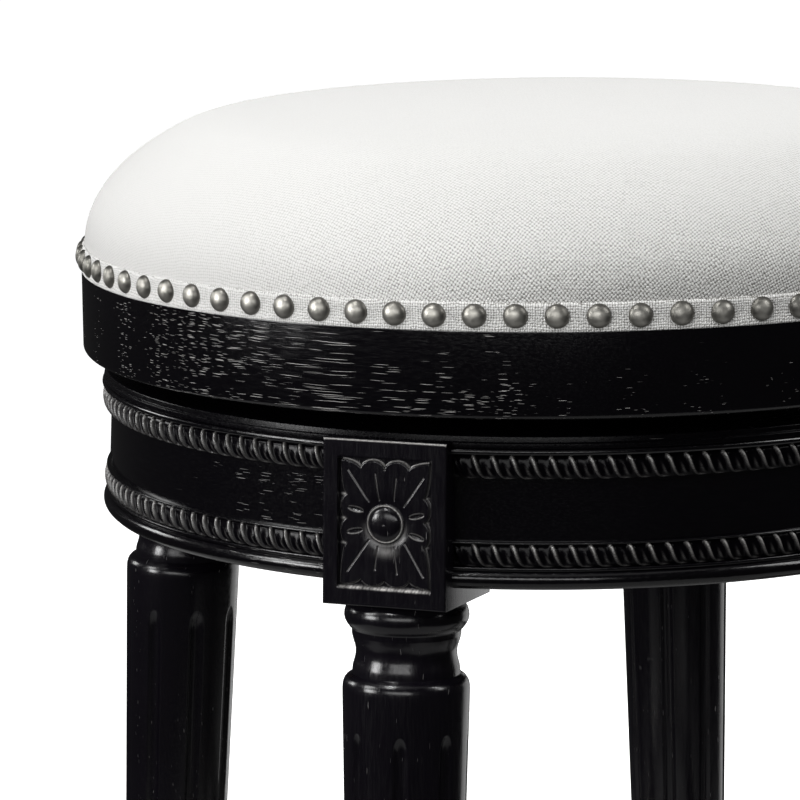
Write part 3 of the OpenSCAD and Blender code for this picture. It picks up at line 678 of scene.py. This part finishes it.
def build_nails():
    """Domed heads on shanks, each a little tilted; the attribute rim grows towards a head's edge."""
    prof = [(0.0, NAIL_DOME)]
    prof += [(NAIL_R * sin(t), NAIL_DOME * cos(t)) for t in np.linspace(0.12, 1.45, 12)]
    prof += [(NAIL_R, 0.15), (5.3, -0.25), (4.7, -0.3), (1.0, -0.3), (0.9, -12.0), (0.0, -12.6)]
    sides = 28
    base = np.array([(r * cos(a), r * sin(a), h) for r, h in prof for a in circle(sides)])
    # rim grows from near the middle of a head out to its edge; the metal darkens with it as painted shade
    rim = np.clip((np.hypot(base[:, 0], base[:, 1]) / NAIL_R - 0.1) / 0.75, 0, 1)
    quads = grid_faces(len(prof), sides, False, True)
    rng = np.random.default_rng(7)
    pts, faces = [], []
    for i in range(NAILS):
        a = radians(NAIL_TURN + 360 * i / NAILS)
        a += nail_drift(a)
        tilt, tilt2 = rng.normal(0, 0.02, 2)
        stray = rng.normal(0, 0.12)
        # x runs along the seat's edge, y up, and r out from the seat's axis
        x, y = base[:, 0], base[:, 1]
        r = BAND_R + 0.25 + base[:, 2] + tilt * x + tilt2 * y
        faces += [tuple(i * len(base) + q for q in f) for f in quads]
        pts.append(np.stack([x * cos(a) + r * sin(a), x * sin(a) - r * cos(a), NAIL_Z + stray + y], 1))
    add_mesh("nail_heads", np.concatenate(pts), faces, "seat", pewter, replaces=("seat_nails",),
             slot="pewter", rim=np.tile(rim, NAILS))


build_cushion()
build_band()
build_nails()

# Seat ring, base top and apron. The first and last points of an edge only give its direction.

ring_edge = fillet([(216.0, RIM_Z, 0), (SEAT_R, RIM_Z, 0.7), (SEAT_R, RING_Z, 2.6), (216.0, RING_Z, 0)])
ring_section = [(RING_IN_R, RING_Z), (RING_IN_R, RIM_Z + SHOULDER_H), (SHOULDER_R, RIM_Z + SHOULDER_H),
                (SHOULDER_R, RIM_Z)]
ring_section += ring_edge[1:-1]
lathe("seat_ring_wood", ring_section, "seat", wood_ring, 384, sharp=50, replaces=("seat_ring",))

top_edge = fillet([(200.0, LIP_Z, 0), (LIP_R, LIP_Z, 0.5), (LIP_R - 0.2, BASE_Z - 3.4, 0.3),
                   (LIP_R - 0.9, BASE_Z - 2.6, 0.3), (LIP_R - 1.2, BASE_Z, 0.7), (200.0, BASE_Z, 0)])
top_section = [(0.0, LIP_Z - 13.0), (RAIL_IN_R - 0.1, LIP_Z - 13.0), (RAIL_IN_R - 0.1, LIP_Z)]
top_section += top_edge[1:-1] + [(0.0, BASE_Z)]
lathe("base_top_wood", top_section, "base", wood_top, 320, closed=False, sharp=50, replaces=("base_top",))

# Up the rail's back, then down over bead, frieze, fillet and round
rail_section = [(RAIL_IN_R, FOOT_ROUND_Z), (RAIL_IN_R, LIP_Z - 0.02), (FRIEZE_R + 1.2, LIP_Z - 0.02)]
rail_section += arc(FRIEZE_R + 2.3, BEAD_Z + 1.6, 1.7, 1.6, 88, -88, 8)
rail_section += [(FRIEZE_R, BEAD_Z - 0.1), (FRIEZE_R, FRIEZE_Z)]
rail_section += arc(FRIEZE_R + 2.2, FRIEZE_Z - 0.55, 0.6, 0.55, 85, -85, 4)
rail_section += [(FRIEZE_R, FRIEZE_Z - 1.15), (FRIEZE_R, ROUND_Z + 0.05)]
rail_section += [(FRIEZE_R + 2.6, ROUND_Z - 0.05), (FRIEZE_R + 2.8, ROUND_Z - 0.4),
                 (FRIEZE_R + 2.7, ROUND_Z - 1.6)]
rail_section += arc(FRIEZE_R + 1.3, ROUND_Z - 5.6, 3.3, 3.85, 75, -60, 12)
rail_section += [(FRIEZE_R + 2.2, FOOT_ROUND_Z + 0.25), (FRIEZE_R + 1.6, FOOT_ROUND_Z)]
SIDES = ("front_left", "back_left", "back_right", "front_right")
for k, n in enumerate(SIDES):
    rail("apron_rail_wood_" + n, k, rail_section, BLOCK_W, "base", wood_frieze, 80, sharp=60,
         replaces=("apron_rail_" + n,))


def hill(x, wide):
    """Bump of height 1 that comes again at each whole x."""
    return exp(-((x + 0.5) % 1.0 - 0.5) ** 2 / wide ** 2)


def strand(q, t):
    """Height, 0 to 1, of the carved rope at share q of a strand's pitch and t from its top edge."""
    ridge = hill(q, 0.105)
    bead = 0.3 * hill(q - 0.56, 0.15) * exp(-((t - 0.60) / 0.18) ** 2)
    foot = 0.6 * exp(-((t - 0.93) / 0.09) ** 2) * (0.35 + 0.65 * hill(q - 0.2, 0.22))
    return min(1.0, ridge + bead + foot)


def strand_highlight(q, t):
    """Painted highlight on a strand: most at its upper end, some along its foot, and a dash between
    strands.
    """
    crest = hill(q, 0.06) * max(0.3, 2.0 - 2.4 * t)
    crest = max(crest, 0.7 * hill(q + 0.09, 0.04) * exp(-((t - 0.22) / 0.12) ** 2))
    foot = 0.3 * exp(-((t - 0.88) / 0.07) ** 2) * hill(q - 0.2, 0.2)
    dash = 0.3 * hill(q - 0.5, 0.05) * exp(-((t - 0.62) / 0.12) ** 2)
    return max(crest, foot, dash)


def rope_mesh(name, z0, node_name):
    """Carved rope: slanted, hooked strands on a half round bar, in four lengths."""
    pitch, deep = 8.67, 2.1
    # points along one strand's pitch, and across the bar
    per, across = 22, 20
    inner_r = FRIEZE_R - 0.6
    edge = asin(BLOCK_W / 2 / ROPE_OUT_R)
    span = pi / 2 - 2 * edge
    cols = round(span * ROPE_OUT_R / pitch) * per + 1
    pts, faces, wax_and_highlight = [], [], []
    for k in range(4):
        start = len(pts)
        for i in range(cols):
            a = edge + span * i / (cols - 1) + k * pi / 2
            # painted shadow cast by the block: the marks fade out towards one end of each length
            clear_of_block_shadow = smooth(((cols - i) * pitch / per - 5.0) / 7.0)
            for j in range(across + 1):
                t = j / across
                # along the rope, a strand runs to the right as it goes down
                q = -i / per - (4.6 * t + 3.4 * t ** 4) / pitch
                wax_and_highlight.append(0.33 * strand_highlight(q, t) * clear_of_block_shadow)
                phi = pi * (0.5 - t)
                out = max(0.0, ROPE_OUT_R - inner_r - deep * (1.0 - strand(q, t)))
                r = inner_r + out * cos(phi) ** 0.6
                pts.append((-r * sin(a), -r * cos(a), z0 + ROPE_H / 2 * sin(phi)))
        faces += grid_faces(cols, across + 1, start=start)
    add_mesh(name, pts, faces, "base", wood_rope, replaces=(node_name,), wax_and_highlight=wax_and_highlight)


rope_mesh("rope_upper", UPPER_ROPE_Z, "upper_rope")
rope_mesh("rope_lower", LOWER_ROPE_Z, "lower_rope")

# Legs, in their own frame: x across, -y outward and u up the axis

# Carved panel, from its middle: half sizes, where its edges' lobes meet, the boss and its ring,
# and the ends of its lines and leaves
PANEL_X = 22.2
PANEL_Z = 29.5
TOP_NOTCHES = (-11.6, -0.3, 11.2)
SIDE_NOTCHES = (-9.4, 1.6, 12.4)
BOSS_R = 7.6
BOSS_RING_R = 8.15
PANEL_LINES = [((-17.4, 23.3), (-7.6, 9.6)), ((18.0, 21.5), (8.8, 8.3)), ((-17.6, -21.8), (-7.6, -7.6)),
               ((18.2, -22.4), (9.6, -8.2)), ((-4.7, 22.0), (-2.9, 10.4)), ((5.2, 20.5), (4.2, 10.8)),
               ((-4.6, -20.6), (-3.5, -10.4)), ((5.9, -21.8), (4.2, -10.4))]
PANEL_LEAVES = [((-17.4, 6.7), (-10.3, 5.3)), ((-17.9, -4.5), (-10.6, -3.0)), ((11.3, 3.6), (18.5, 5.3)),
                ((11.3, -3.8), (18.5, -5.9))]


def scalloped(t, half, notches, low, reach):
    """Edge of the carved field, set in by low at its lobes and by reach at its notches."""
    ends = [-half, *notches, half]
    out = np.full_like(t, low)
    for i, (a, b) in enumerate(zip(ends, ends[1:])):
        if i == 0:
            q = (t - a) / (b - a)
        elif i == len(ends) - 2:
            q = (b - t) / (b - a)
        else:
            q = np.abs(2 * t - a - b) / (b - a)
        rise = 1 - np.sqrt(1 - np.clip(q, 0, 1) ** 2)
        out = np.where((t >= a) & (t <= b), low + (reach - low) * rise, out)
    return out


def lobe_gaps(x, z):
    """How far a point lies in from the field's top or bottom edge, and from its side edges."""
    top = PANEL_Z - np.abs(z) - scalloped(x, PANEL_X, TOP_NOTCHES, 1.2, 5.0)
    side = PANEL_X - np.abs(x) - scalloped(z, PANEL_Z, SIDE_NOTCHES, 0.9, 3.9)
    return top, side


def along(x, z, ends):
    """Share of the way along a line, and signed distance from it."""
    (x0, z0), (x1, z1) = ends
    dx, dz = x1 - x0, z1 - z0
    n = hypot(dx, dz)
    return ((x - x0) * dx + (z - z0) * dz) / (n * n), ((x - x0) * dz - (z - z0) * dx) / n


def line_gap(x, z, ends):
    """As along, but measured to the nearest point between the ends."""
    (x0, z0), (x1, z1) = ends
    t = np.clip(along(x, z, ends)[0], 0, 1)
    return t, np.hypot(x - x0 - t * (x1 - x0), z - z0 - t * (z1 - z0))


def leaf_half(t, widest):
    return widest * np.sqrt(1 - (2 * np.clip(t, 0, 1) - 1) ** 2)


def carve(x, z):
    """Depth of the carved panel at x across and z up from the block's middle."""
    # the bottom wall leans back more than the others
    walls = np.minimum(PANEL_X - np.abs(x), PANEL_Z - z) / 0.55
    inside = smooth(np.minimum(walls, (PANEL_Z + z) / 1.5))
    field = smooth(np.minimum(*lobe_gaps(x, z)) + 0.2)
    d = inside * (2.5 - 1.35 * field)
    # the field is dished round the boss
    rad = np.hypot(x, z)
    d += field * 0.95 * np.exp(-((rad - 8.4) / 3.4) ** 2)
    for ends in PANEL_LINES:
        d += 0.45 * np.clip(1 - line_gap(x, z, ends)[1] / 0.5, 0, 1)
    for ends in PANEL_LEAVES:
        t, off = along(x, z, ends)
        half = np.maximum(leaf_half(t, 1.1), 0.05)
        d += 0.95 * np.clip(1 - np.abs(off) / half, 0, 1) * ((t > 0) & (t < 1))
    # domed boss in a thin raised ring, with a dimple
    dome = np.sqrt(np.clip(1 - (rad / BOSS_R) ** 2, 0, 1))
    d = np.where(rad < BOSS_R, 1.75 - 2.5 * dome + 0.35 * np.exp(-(rad / 0.5) ** 2), d)
    d -= 1.25 * np.clip(1 - np.abs(rad - BOSS_RING_R) / 0.62, 0, 1) ** 0.8
    return np.maximum(d, -1.0)


def line(distance, wide):
    """Falls from 1 on a line to 0 beside it."""
    return np.exp(-(distance / wide) ** 2)


def panel_wax_and_highlight(x, z):
    """Share of white wax left in the panel's lines, and of painted highlight on its edges and on the walls
    that face the light, 0 to 1.
    """
    top, side = lobe_gaps(x, z)
    in_x, in_z = np.abs(x) < PANEL_X, np.abs(z) < PANEL_Z
    # painted highlight: the top lobes' edge, lit from above, far brighter than the bottom one's
    marks = [np.where(z > 0, 0.8, 0.15) * line(top, 0.22) * in_z * (np.abs(x) < PANEL_X - 2),
             0.13 * line(side, 0.22) * in_x * (np.abs(z) < PANEL_Z - 2)]
    # painted highlight: the notches on the left far brighter than those on the right, lit from the left
    for notch in SIDE_NOTCHES:
        marks.append(0.6 * line(x + PANEL_X - 2.6, 1.0) * line(z - notch, 0.55))
        marks.append(0.2 * line(x - PANEL_X + 2.6, 0.8) * line(z - notch, 0.45))
    # painted light on the walls that face the lamps: in patches on the bottom wall, partly wax, and on the
    # right one
    patches = 0.45 + line(x, 4.0) + line(x - 13.0, 5.0) + 0.7 * line(x + 14.0, 3.0)
    patches = patches * (0.75 + 0.45 * np.sin(2.7 * x + 0.6) * np.sin(1.1 * x))
    marks.append(0.9 * np.minimum(patches, 1.2) * line(z + PANEL_Z - 0.5, 0.5) * in_x)
    marks.append(0.25 * line(x - PANEL_X + 0.3, 0.22) * in_z)
    # wax on the boss's ring; painted highlight in the dish round it and in a patch under it
    rad = np.hypot(x, z)
    marks.append(0.75 * line(rad - BOSS_RING_R, 0.25))
    marks.append(0.12 * line(rad - 9.8, 0.8) * smooth((2.0 - z) / 8.0))
    marks.append(0.2 * line(x - 0.5, 4.2) * line(z + 12.6, 2.0))
    for ends in PANEL_LINES:
        # a line has most wax, partly painted highlight, at its outer end
        t, near = line_gap(x, z, ends)
        marks.append((0.26 - 0.14 * t) * line(near, 0.19))
    for ends in PANEL_LEAVES:
        t, off = along(x, z, ends)
        half = leaf_half(t, 1.15)
        # painted highlight: a leaf's outline is brighter on one side
        rim = np.maximum(line(off - half, 0.22), 0.6 * line(off + half, 0.22))
        marks.append(0.25 * rim * ((t > 0) & (t < 1)))
    return np.maximum.reduce(marks)


def eased(ease, angles):
    """(distance in from the side, distance in from the end) round an eased edge."""
    return [(ease * (1 - sin(a)), ease * (1 - cos(a))) for a in map(radians, angles)]


def leg_block():
    """Head block with its carved front and eased edges: points, faces, and wax with painted highlights."""
    ease, step = 0.9, 0.3
    w, h = BLOCK_W / 2 - ease, BLOCK_L / 2 - ease
    nx, nz = int(round(2 * w / step)) + 1, int(round(2 * h / step)) + 1
    x, z = np.linspace(-w, w, nx), np.linspace(-h, h, nz)
    across, up = np.meshgrid(x, z)
    front, middle = -BLOCK_W / 2, BLOCK_U + BLOCK_L / 2
    pts = [np.stack([across.ravel(), front + carve(across, up).ravel(), middle + up.ravel()], 1)]
    wax_and_highlight = [panel_wax_and_highlight(across, up).ravel()]
    faces = grid_faces(nz, nx)
    # the face's outer points in order, and the way out at each
    ring = [(i, 0) for i in range(nx)] + [(nx - 1, j) for j in range(1, nz)]
    ring += [(i, nz - 1) for i in range(nx - 2, -1, -1)] + [(0, j) for j in range(nz - 2, 0, -1)]
    edge = np.array([(x[i], z[j]) for i, j in ring])
    way = np.array([((i == nx - 1) - (i == 0), (j == nz - 1) - (j == 0)) for i, j in ring], float)
    loops = eased(ease, (30, 60, 90))
    loops += [(inset, BLOCK_W - deep) for inset, deep in eased(ease, (90, 60, 30, 0))]
    before = [j * nx + i for i, j in ring]
    m, count = len(ring), nx * nz
    for inset, deep in loops:
        p = edge + way * (ease - inset)
        pts.append(np.stack([p[:, 0], np.full(m, front + deep), middle + p[:, 1]], 1))
        # painted highlight along the top eased edge
        wax_and_highlight.append(np.where(way[:, 1] > 0, 0.5, 0.0) * (deep < 0.5 * ease) * (inset > 0))
        after = list(range(count, count + m))
        count += m
        for i in range(m):
            j = (i + 1) % m
            faces.append((before[i], before[j], after[j], after[i]))
        before = after
    faces.append(tuple(before))
    return np.concatenate(pts), faces, np.concatenate(wax_and_highlight)


def capped(rows, cols):
    """Faces of a turned form with flat ends."""
    faces = grid_faces(rows, cols, False, True)
    faces.append(tuple(range(cols)))
    faces.append(tuple((rows - 1) * cols + i for i in reversed(range(cols))))
    return faces


# Turning of a leg as (distance down, radius), from the head block down to the foot
HEAD_TURN = [(-1.0, 22.0), (0.0, 22.6), (0.6, 24.6), (1.9, 26.3), (3.6, 27.4), (5.6, 28.0),
             (7.4, 28.15), (9.2, 27.8), (11.0, 26.9), (12.6, 25.7), (13.5, 24.75), (13.9, 24.62),
             (15.9, 24.6), (16.5, 24.45), (17.6, 24.2), (19.2, 23.75), (21.0, 23.15), (22.8, 22.82),
             (24.6, 22.8), (26.4, 23.02), (28.2, 23.5), (29.8, 23.95), (31.2, 24.2), (32.6, 24.3),
             (33.7, 24.35), (34.0, 24.9), (34.4, 25.8), (35.2, 26.9), (36.3, 27.75), (37.7, 28.35),
             (39.3, 28.65), (41.0, 28.72), (44.0, 28.7)]
ANKLE_TURN = [(1.2, 20.0), (3.0, 19.6), (6.0, 18.7), (9.0, 19.0), (11.0, 19.7), (12.0, 20.0)]
FOOT_COLLAR = [(0.0, 19.0), (0.5, 21.0), (1.8, 22.8), (3.6, 23.8), (5.5, 24.0), (7.4, 23.8),
               (9.2, 22.8), (10.5, 21.0), (11.0, 19.9)]
FOOT_SWELL = [(0.3, 20.2), (1.0, 21.0), (2.4, 21.7), (4.5, 22.0), (8.0, 21.8)]
# The foot's taper ends here, and its lowest part is given as (height up the axis, radius)
TAPER_LOW = (31.0, 14.6)
TOE = [(30.3, 15.0), (29.3, 16.2), (27.6, 16.85), (26.0, 16.94), (24.4, 16.85), (22.7, 16.2),
       (21.7, 15.0), (21.2, 14.5), (14.0, 14.4), (6.0, 14.3), (-4.0, 14.2)]
FLUTE_TOP_U = BLOCK_U - 58.5
FLUTE_LOW_U = SHAFT_LOW_U + 20.0
# How far each leg's flutes are turned about its axis, in degrees
FLUTE_TURNS = (16.0, -5.0, 8.0, 12.0)


def leg_profile():
    """(u, r) down a leg from the head block to the knee block."""
    out = [(BLOCK_U - d, r) for d, r in HEAD_TURN]
    top_u, top_r = out[-1]
    low_u, low_r = SHAFT_LOW_U + 4.5, 24.9
    # the points lie closer where the flutes run out
    marks = [*np.linspace(top_u - 2.5, FLUTE_TOP_U + 1.5, 6),
             *np.linspace(FLUTE_TOP_U + 0.8, FLUTE_TOP_U - 11.5, 22),
             *np.linspace(FLUTE_TOP_U - 15, FLUTE_LOW_U + 15, 22),
             *np.linspace(FLUTE_LOW_U + 11.5, FLUTE_LOW_U - 0.8, 22),
             *np.linspace(FLUTE_LOW_U - 4, low_u, 5)]
    out += [(u, top_r + (low_r - top_r) * (top_u - u) / (top_u - low_u)) for u in marks]
    for a in map(radians, (70, 50, 30, 10)):
        out.append((SHAFT_LOW_U + 4.5 * sin(a) - 0.6, 20.4 + 4.4 * sin(a)))
    out += [(SHAFT_LOW_U - d, r) for d, r in ANKLE_TURN]
    out += [(KNEE_TOP_U + 11.0 - d, r) for d, r in FOOT_COLLAR]
    out.append((KNEE_TOP_U - 1.0, 19.0))
    return out


def leg_shaft(k):
    """Turned leg, with flutes cut by a round tool that rises by lift over the run at each end."""
    flutes, shaft_r, half = 8, 27.0, 4.4
    tool_r, deep, run, lift = 4.0, 2.0, 9.0, 3.46
    turn = 2 * pi / flutes
    between = turn - 2 * half / shaft_r
    offs = [o / shaft_r for o in np.linspace(-half, half, 15)]
    offs += [half / shaft_r + between * share for share in (0.25, 0.5, 0.75)]
    middles = np.repeat(radians(FLUTE_TURNS[k]) + turn * np.arange(flutes), len(offs))
    offs = np.tile(offs, flutes)
    angles = middles + offs
    pts = []
    for u, r in leg_profile():
        x, y = r * np.sin(offs), 0.0
        if u > FLUTE_TOP_U - run:
            y = (u - FLUTE_TOP_U + run) * lift / run
        elif u < FLUTE_LOW_U + run:
            y = (FLUTE_LOW_U + run - u) * lift / run
        square = tool_r * tool_r - x * x - y * y
        cut = np.where(square > 0, np.sqrt(np.maximum(square, 0)) - (tool_r - deep), -1)
        # soft edge to the flute
        soft = np.where(cut > -0.6, 0.25 * ((cut + 0.6) / 0.85) ** 2, 0)
        cut = np.where(cut > 0.25, cut, soft)
        if u > FLUTE_TOP_U + 4 or u < FLUTE_LOW_U - 4:
            cut = cut * 0
        pts.append(hoop(r - cut, angles, u))
    return np.concatenate(pts), capped(len(pts), len(angles))


def round_box(w, low, high, ease=0.9):
    """Square block between two heights of a leg's axis, with eased edges."""
    half = w / 2
    corners = [(-half, -half, ease), (half, -half, ease), (half, half, ease), (-half, half, ease)]
    outline = np.array(fillet(corners, 4))
    loops = [(inset, low + rise) for inset, rise in eased(ease, (0, 30, 60, 90))]
    loops += [(inset, high - rise) for inset, rise in eased(ease, (90, 60, 30, 0))]
    pts = [np.column_stack([outline * (1 - inset / half), np.full(len(outline), u)]) for inset, u in loops]
    return np.concatenate(pts), capped(len(loops), len(outline))


def foot_turn():
    """Turned foot below the knee block, down into its glide."""
    prof = [(KNEE_LOW_U + 1.0, 19.0)] + [(KNEE_LOW_U - d, r) for d, r in FOOT_COLLAR]
    prof += [(KNEE_LOW_U - 11.0 - d, r) for d, r in FOOT_SWELL]
    u0, r0 = prof[-1]
    u1, r1 = TAPER_LOW
    prof += [(u0 + (u1 - u0) * t, r0 + (r1 - r0) * t) for t in np.linspace(0.08, 1, 14)]
    prof += TOE
    sides = 72
    pts = [hoop(r, circle(sides), u) for u, r in prof]
    return np.concatenate(pts), capped(len(prof), sides)


block_pts, block_faces, block_wax_and_highlight = leg_block()
for k, n in enumerate(("front", "left", "back", "right")):
    parts = [(block_pts, block_faces), leg_shaft(k), round_box(KNEE_W, KNEE_LOW_U, KNEE_TOP_U), foot_turn()]
    faces, count = [], 0
    for part_pts, part_faces in parts:
        faces += [tuple(count + i for i in f) for f in part_faces]
        count += len(part_pts)
    placed = leg_to_world(np.concatenate([part_pts for part_pts, _ in parts]), k)
    placed[:, 2] = np.maximum(placed[:, 2], GLIDE_H)
    # the panel's points come first
    wax_and_highlight = np.zeros(count)
    wax_and_highlight[:len(block_wax_and_highlight)] = block_wax_and_highlight
    add_mesh("leg_wood_" + n, placed, faces, "base", wood_legs[k], sharp=42, replaces=("leg_" + n,),
             wax_and_highlight=wax_and_highlight)

# Foot ring, and kick plates bent over its upper outer edge

FOOT_EASE = 5.0
# radii of the plate's bend, inside and outside, and how far the plate comes down
PLATE_IN, PLATE_OUT, PLATE_DROP = 5.2, 6.4, 24.0
foot_in, foot_out = FOOT_RING_R - FOOT_RAIL_W / 2, FOOT_RING_R + FOOT_RAIL_W / 2
foot_section = fillet([(foot_in, FOOT_RAIL_LOW_Z, FOOT_EASE), (foot_out, FOOT_RAIL_LOW_Z, FOOT_EASE),
                       (foot_out, FOOT_RAIL_TOP_Z, FOOT_EASE), (foot_in, FOOT_RAIL_TOP_Z, FOOT_EASE)], 7)
bend_r, bend_z = foot_out - FOOT_EASE, FOOT_RAIL_TOP_Z - FOOT_EASE
plate_low = FOOT_RAIL_TOP_Z - PLATE_DROP
kick_section = [(FOOT_RING_R, bend_z + PLATE_IN), (FOOT_RING_R, bend_z + PLATE_OUT)]
kick_section += arc(bend_r, bend_z, PLATE_OUT, PLATE_OUT, 90, 0, 8)
kick_section += [(bend_r + PLATE_OUT, plate_low), (bend_r + PLATE_IN, plate_low)]
kick_section += arc(bend_r, bend_z, PLATE_IN, PLATE_IN, 0, 90, 8)
for k, n in enumerate(SIDES):
    rail("foot_rail_wood_" + n, k, foot_section, KNEE_W, "base", wood_plain, 64, sharp=60,
         replaces=("foot_rail_" + n,))
    rail("kick_plate_metal_" + n, k, kick_section, KNEE_W + 8, "base", pewter, 64, sharp=60,
         replaces=("kick_plate_" + n,), slot="pewter")

# CAD pieces that keep their own shape get their materials
OWN_SHAPE = ((plywood, ("seat_board",)),
             (zinc, ("seat_board_screws", "bearing_top_plate", "bearing_top_screws", "bearing_bottom_plate",
                     "bearing_bottom_screws", "king_pin", "base_top_screws", "glide_nails")),
             (cage_plastic, ("bearing_cage",)),
             (steel, ("bearing_balls",)),
             (beech, ("apron_dowels", "glue_blocks", "foot_dowels")),
             (pewter, ("kick_plate_screws",)),
             (nylon, ("glides",)))
for material, names in OWN_SHAPE:
    for name in names:
        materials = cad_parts[name].data.materials
        materials.clear()
        materials.append(material)

# Floor, light and camera

FLOOR_HALF = 60.0
floor_mat, tree, shader = new_material("floor")
shader.inputs["Base Color"].default_value = (0.9, 0.9, 0.9, 1)
shader.inputs["Roughness"].default_value = 0.9
shader.inputs["Specular IOR Level"].default_value = 0.0
shader.inputs["Emission Color"].default_value = (1, 1, 1, 1)
shader.inputs["Emission Strength"].default_value = 0.85
# the floor is clear from below, so that the underside can be looked at
facing = tree.nodes.new("ShaderNodeNewGeometry")
clear = tree.nodes.new("ShaderNodeBsdfTransparent")
sided = tree.nodes.new("ShaderNodeMixShader")
tree.links.new(facing.outputs["Backfacing"], sided.inputs[0])
tree.links.new(shader.outputs[0], sided.inputs[1])
tree.links.new(clear.outputs[0], sided.inputs[2])
tree.links.new(sided.outputs[0], tree.nodes["Material Output"].inputs["Surface"])
floor_mesh = bpy.data.meshes.new("floor")
floor_corners = [(x * FLOOR_HALF, y * FLOOR_HALF, 0) for x, y in ((-1, -1), (1, -1), (1, 1), (-1, 1))]
floor_mesh.from_pydata(floor_corners, [], [(0, 1, 2, 3)])
floor_mesh.materials.append(floor_mat)
floor = link_object("floor", floor_mesh)
floor.visible_glossy = False
floor.visible_diffuse = False

# The camera sees white, and the world's own light on the stool is weak
world = bpy.data.worlds.new("studio")
scene.world = world
world.use_nodes = True
tree = world.node_tree
background = tree.nodes["Background"]
background.inputs["Color"].default_value = (1, 1, 1, 1)
path = tree.nodes.new("ShaderNodeLightPath")
strength = plus(tree, path.outputs["Is Camera Ray"], times(tree, path.outputs["Is Diffuse Ray"], 0.13))
strength = plus(tree, strength, times(tree, path.outputs["Is Glossy Ray"], 0.02))
tree.links.new(strength, background.inputs["Strength"])

CAM_AZ = 19.15
CARD_AIM = Vector((0, 0, 0.62))


def light(name, kind, energy):
    data = bpy.data.lights.new(name, kind)
    data.energy = energy
    return link_object(name, data)


def card(name, azimuth, elevation, width, height, radiance, distance=2.2, shiny=True, soft=True):
    """Soft box: azimuth is measured from the camera's side, to the right seen from it."""
    a = radians(azimuth + CAM_AZ)
    e = radians(elevation)
    way = Vector((sin(a) * cos(e), -cos(a) * cos(e), sin(e)))
    obj = light(name, "AREA", radiance * pi * width * height)
    obj.data.shape = "RECTANGLE"
    obj.data.size, obj.data.size_y = width, height
    obj.location = CARD_AIM + way * distance
    obj.rotation_euler = way.to_track_quat("Z", "Y").to_euler()
    obj.visible_camera = False
    obj.visible_glossy = shiny
    obj.visible_diffuse = soft


card("key", -74, 30, 0.55, 0.65, 9.4)
card("accent", -38, 48, 0.32, 0.32, 17.0)
card("strip_right", 68, 36, 0.4, 1.0, 8.0)
card("backdrop_right", 150, -2, 2.0, 2.0, 0.9, distance=2.4)
card("fill_top", 0, 60, 1.0, 0.6, 8.8, shiny=False)
card("fill_front", -38, 6, 1.2, 0.8, 6.0, shiny=False)
card("fill_left", -80, 5, 1.2, 0.8, 4.2, shiny=False)
card("fill_back", 130, 32, 1.6, 1.0, 4.8, shiny=False)
card("fill_back_left", -130, 20, 1.6, 1.0, 1.4, shiny=False)
card("gleam_left", -64, 11, 0.6, 0.5, 15.0, soft=False)
card("gleam_front", -12, 15, 1.8, 0.45, 3.5, soft=False)
card("gleam_high", -48, 62, 0.26, 0.26, 52.0, soft=False)
card("gleam_behind", -116, 14, 0.5, 0.5, 7.0, soft=False)

# The white floor's shine on the legs
GLOW_SIZE = 1.7
glow = light("floor_glow", "AREA", 0.3 * pi * GLOW_SIZE ** 2)
glow.data.shape = "SQUARE"
glow.data.size = GLOW_SIZE
glow.location = (0, 0, 0.004)
glow.rotation_euler = (pi, 0, 0)
glow.visible_camera = False
glow.visible_diffuse = False
sun = light("top", "SUN", 0.3)
sun.data.angle = radians(70)
sun.rotation_euler = (radians(8), radians(-6), 0)

# Camera, solved from the photograph: its place is measured from the middle of the rim, and its
# place and angles are in a frame that is turned by CAM_TURN about the stool's axis
FOCAL_PX, PHOTO_PX, SENSOR = 3995.025, 800, 36
CAM_PLACE = (-33.568, -1934.294, 269.307)
CAM_TURN = radians(20.143)
yaw, tilt, roll = radians(1.212), radians(9.937), radians(-0.613)


def turned(v):
    c, s = cos(CAM_TURN), sin(CAM_TURN)
    return Vector((v[0] * c - v[1] * s, v[0] * s + v[1] * c, v[2]))


ahead = turned((-sin(yaw) * cos(tilt), cos(yaw) * cos(tilt), -sin(tilt)))
level = turned((cos(yaw), sin(yaw), 0))
above = turned((-sin(yaw) * sin(tilt), cos(yaw) * sin(tilt), cos(tilt)))
columns = (level * cos(roll) + above * sin(roll), above * cos(roll) - level * sin(roll),
           -ahead, (turned(CAM_PLACE) + Vector((0, 0, RIM_Z))) * MM)
cam_data = bpy.data.cameras.new("camera")
cam_data.sensor_width = SENSOR
cam_data.lens = FOCAL_PX / PHOTO_PX * SENSOR
cam_data.clip_start = 0.05
cam_data.clip_end = 200
cam = link_object("camera", cam_data)
cam.matrix_world = Matrix([[c[row] for c in columns] for row in range(3)] + [[0, 0, 0, 1]])
scene.camera = cam
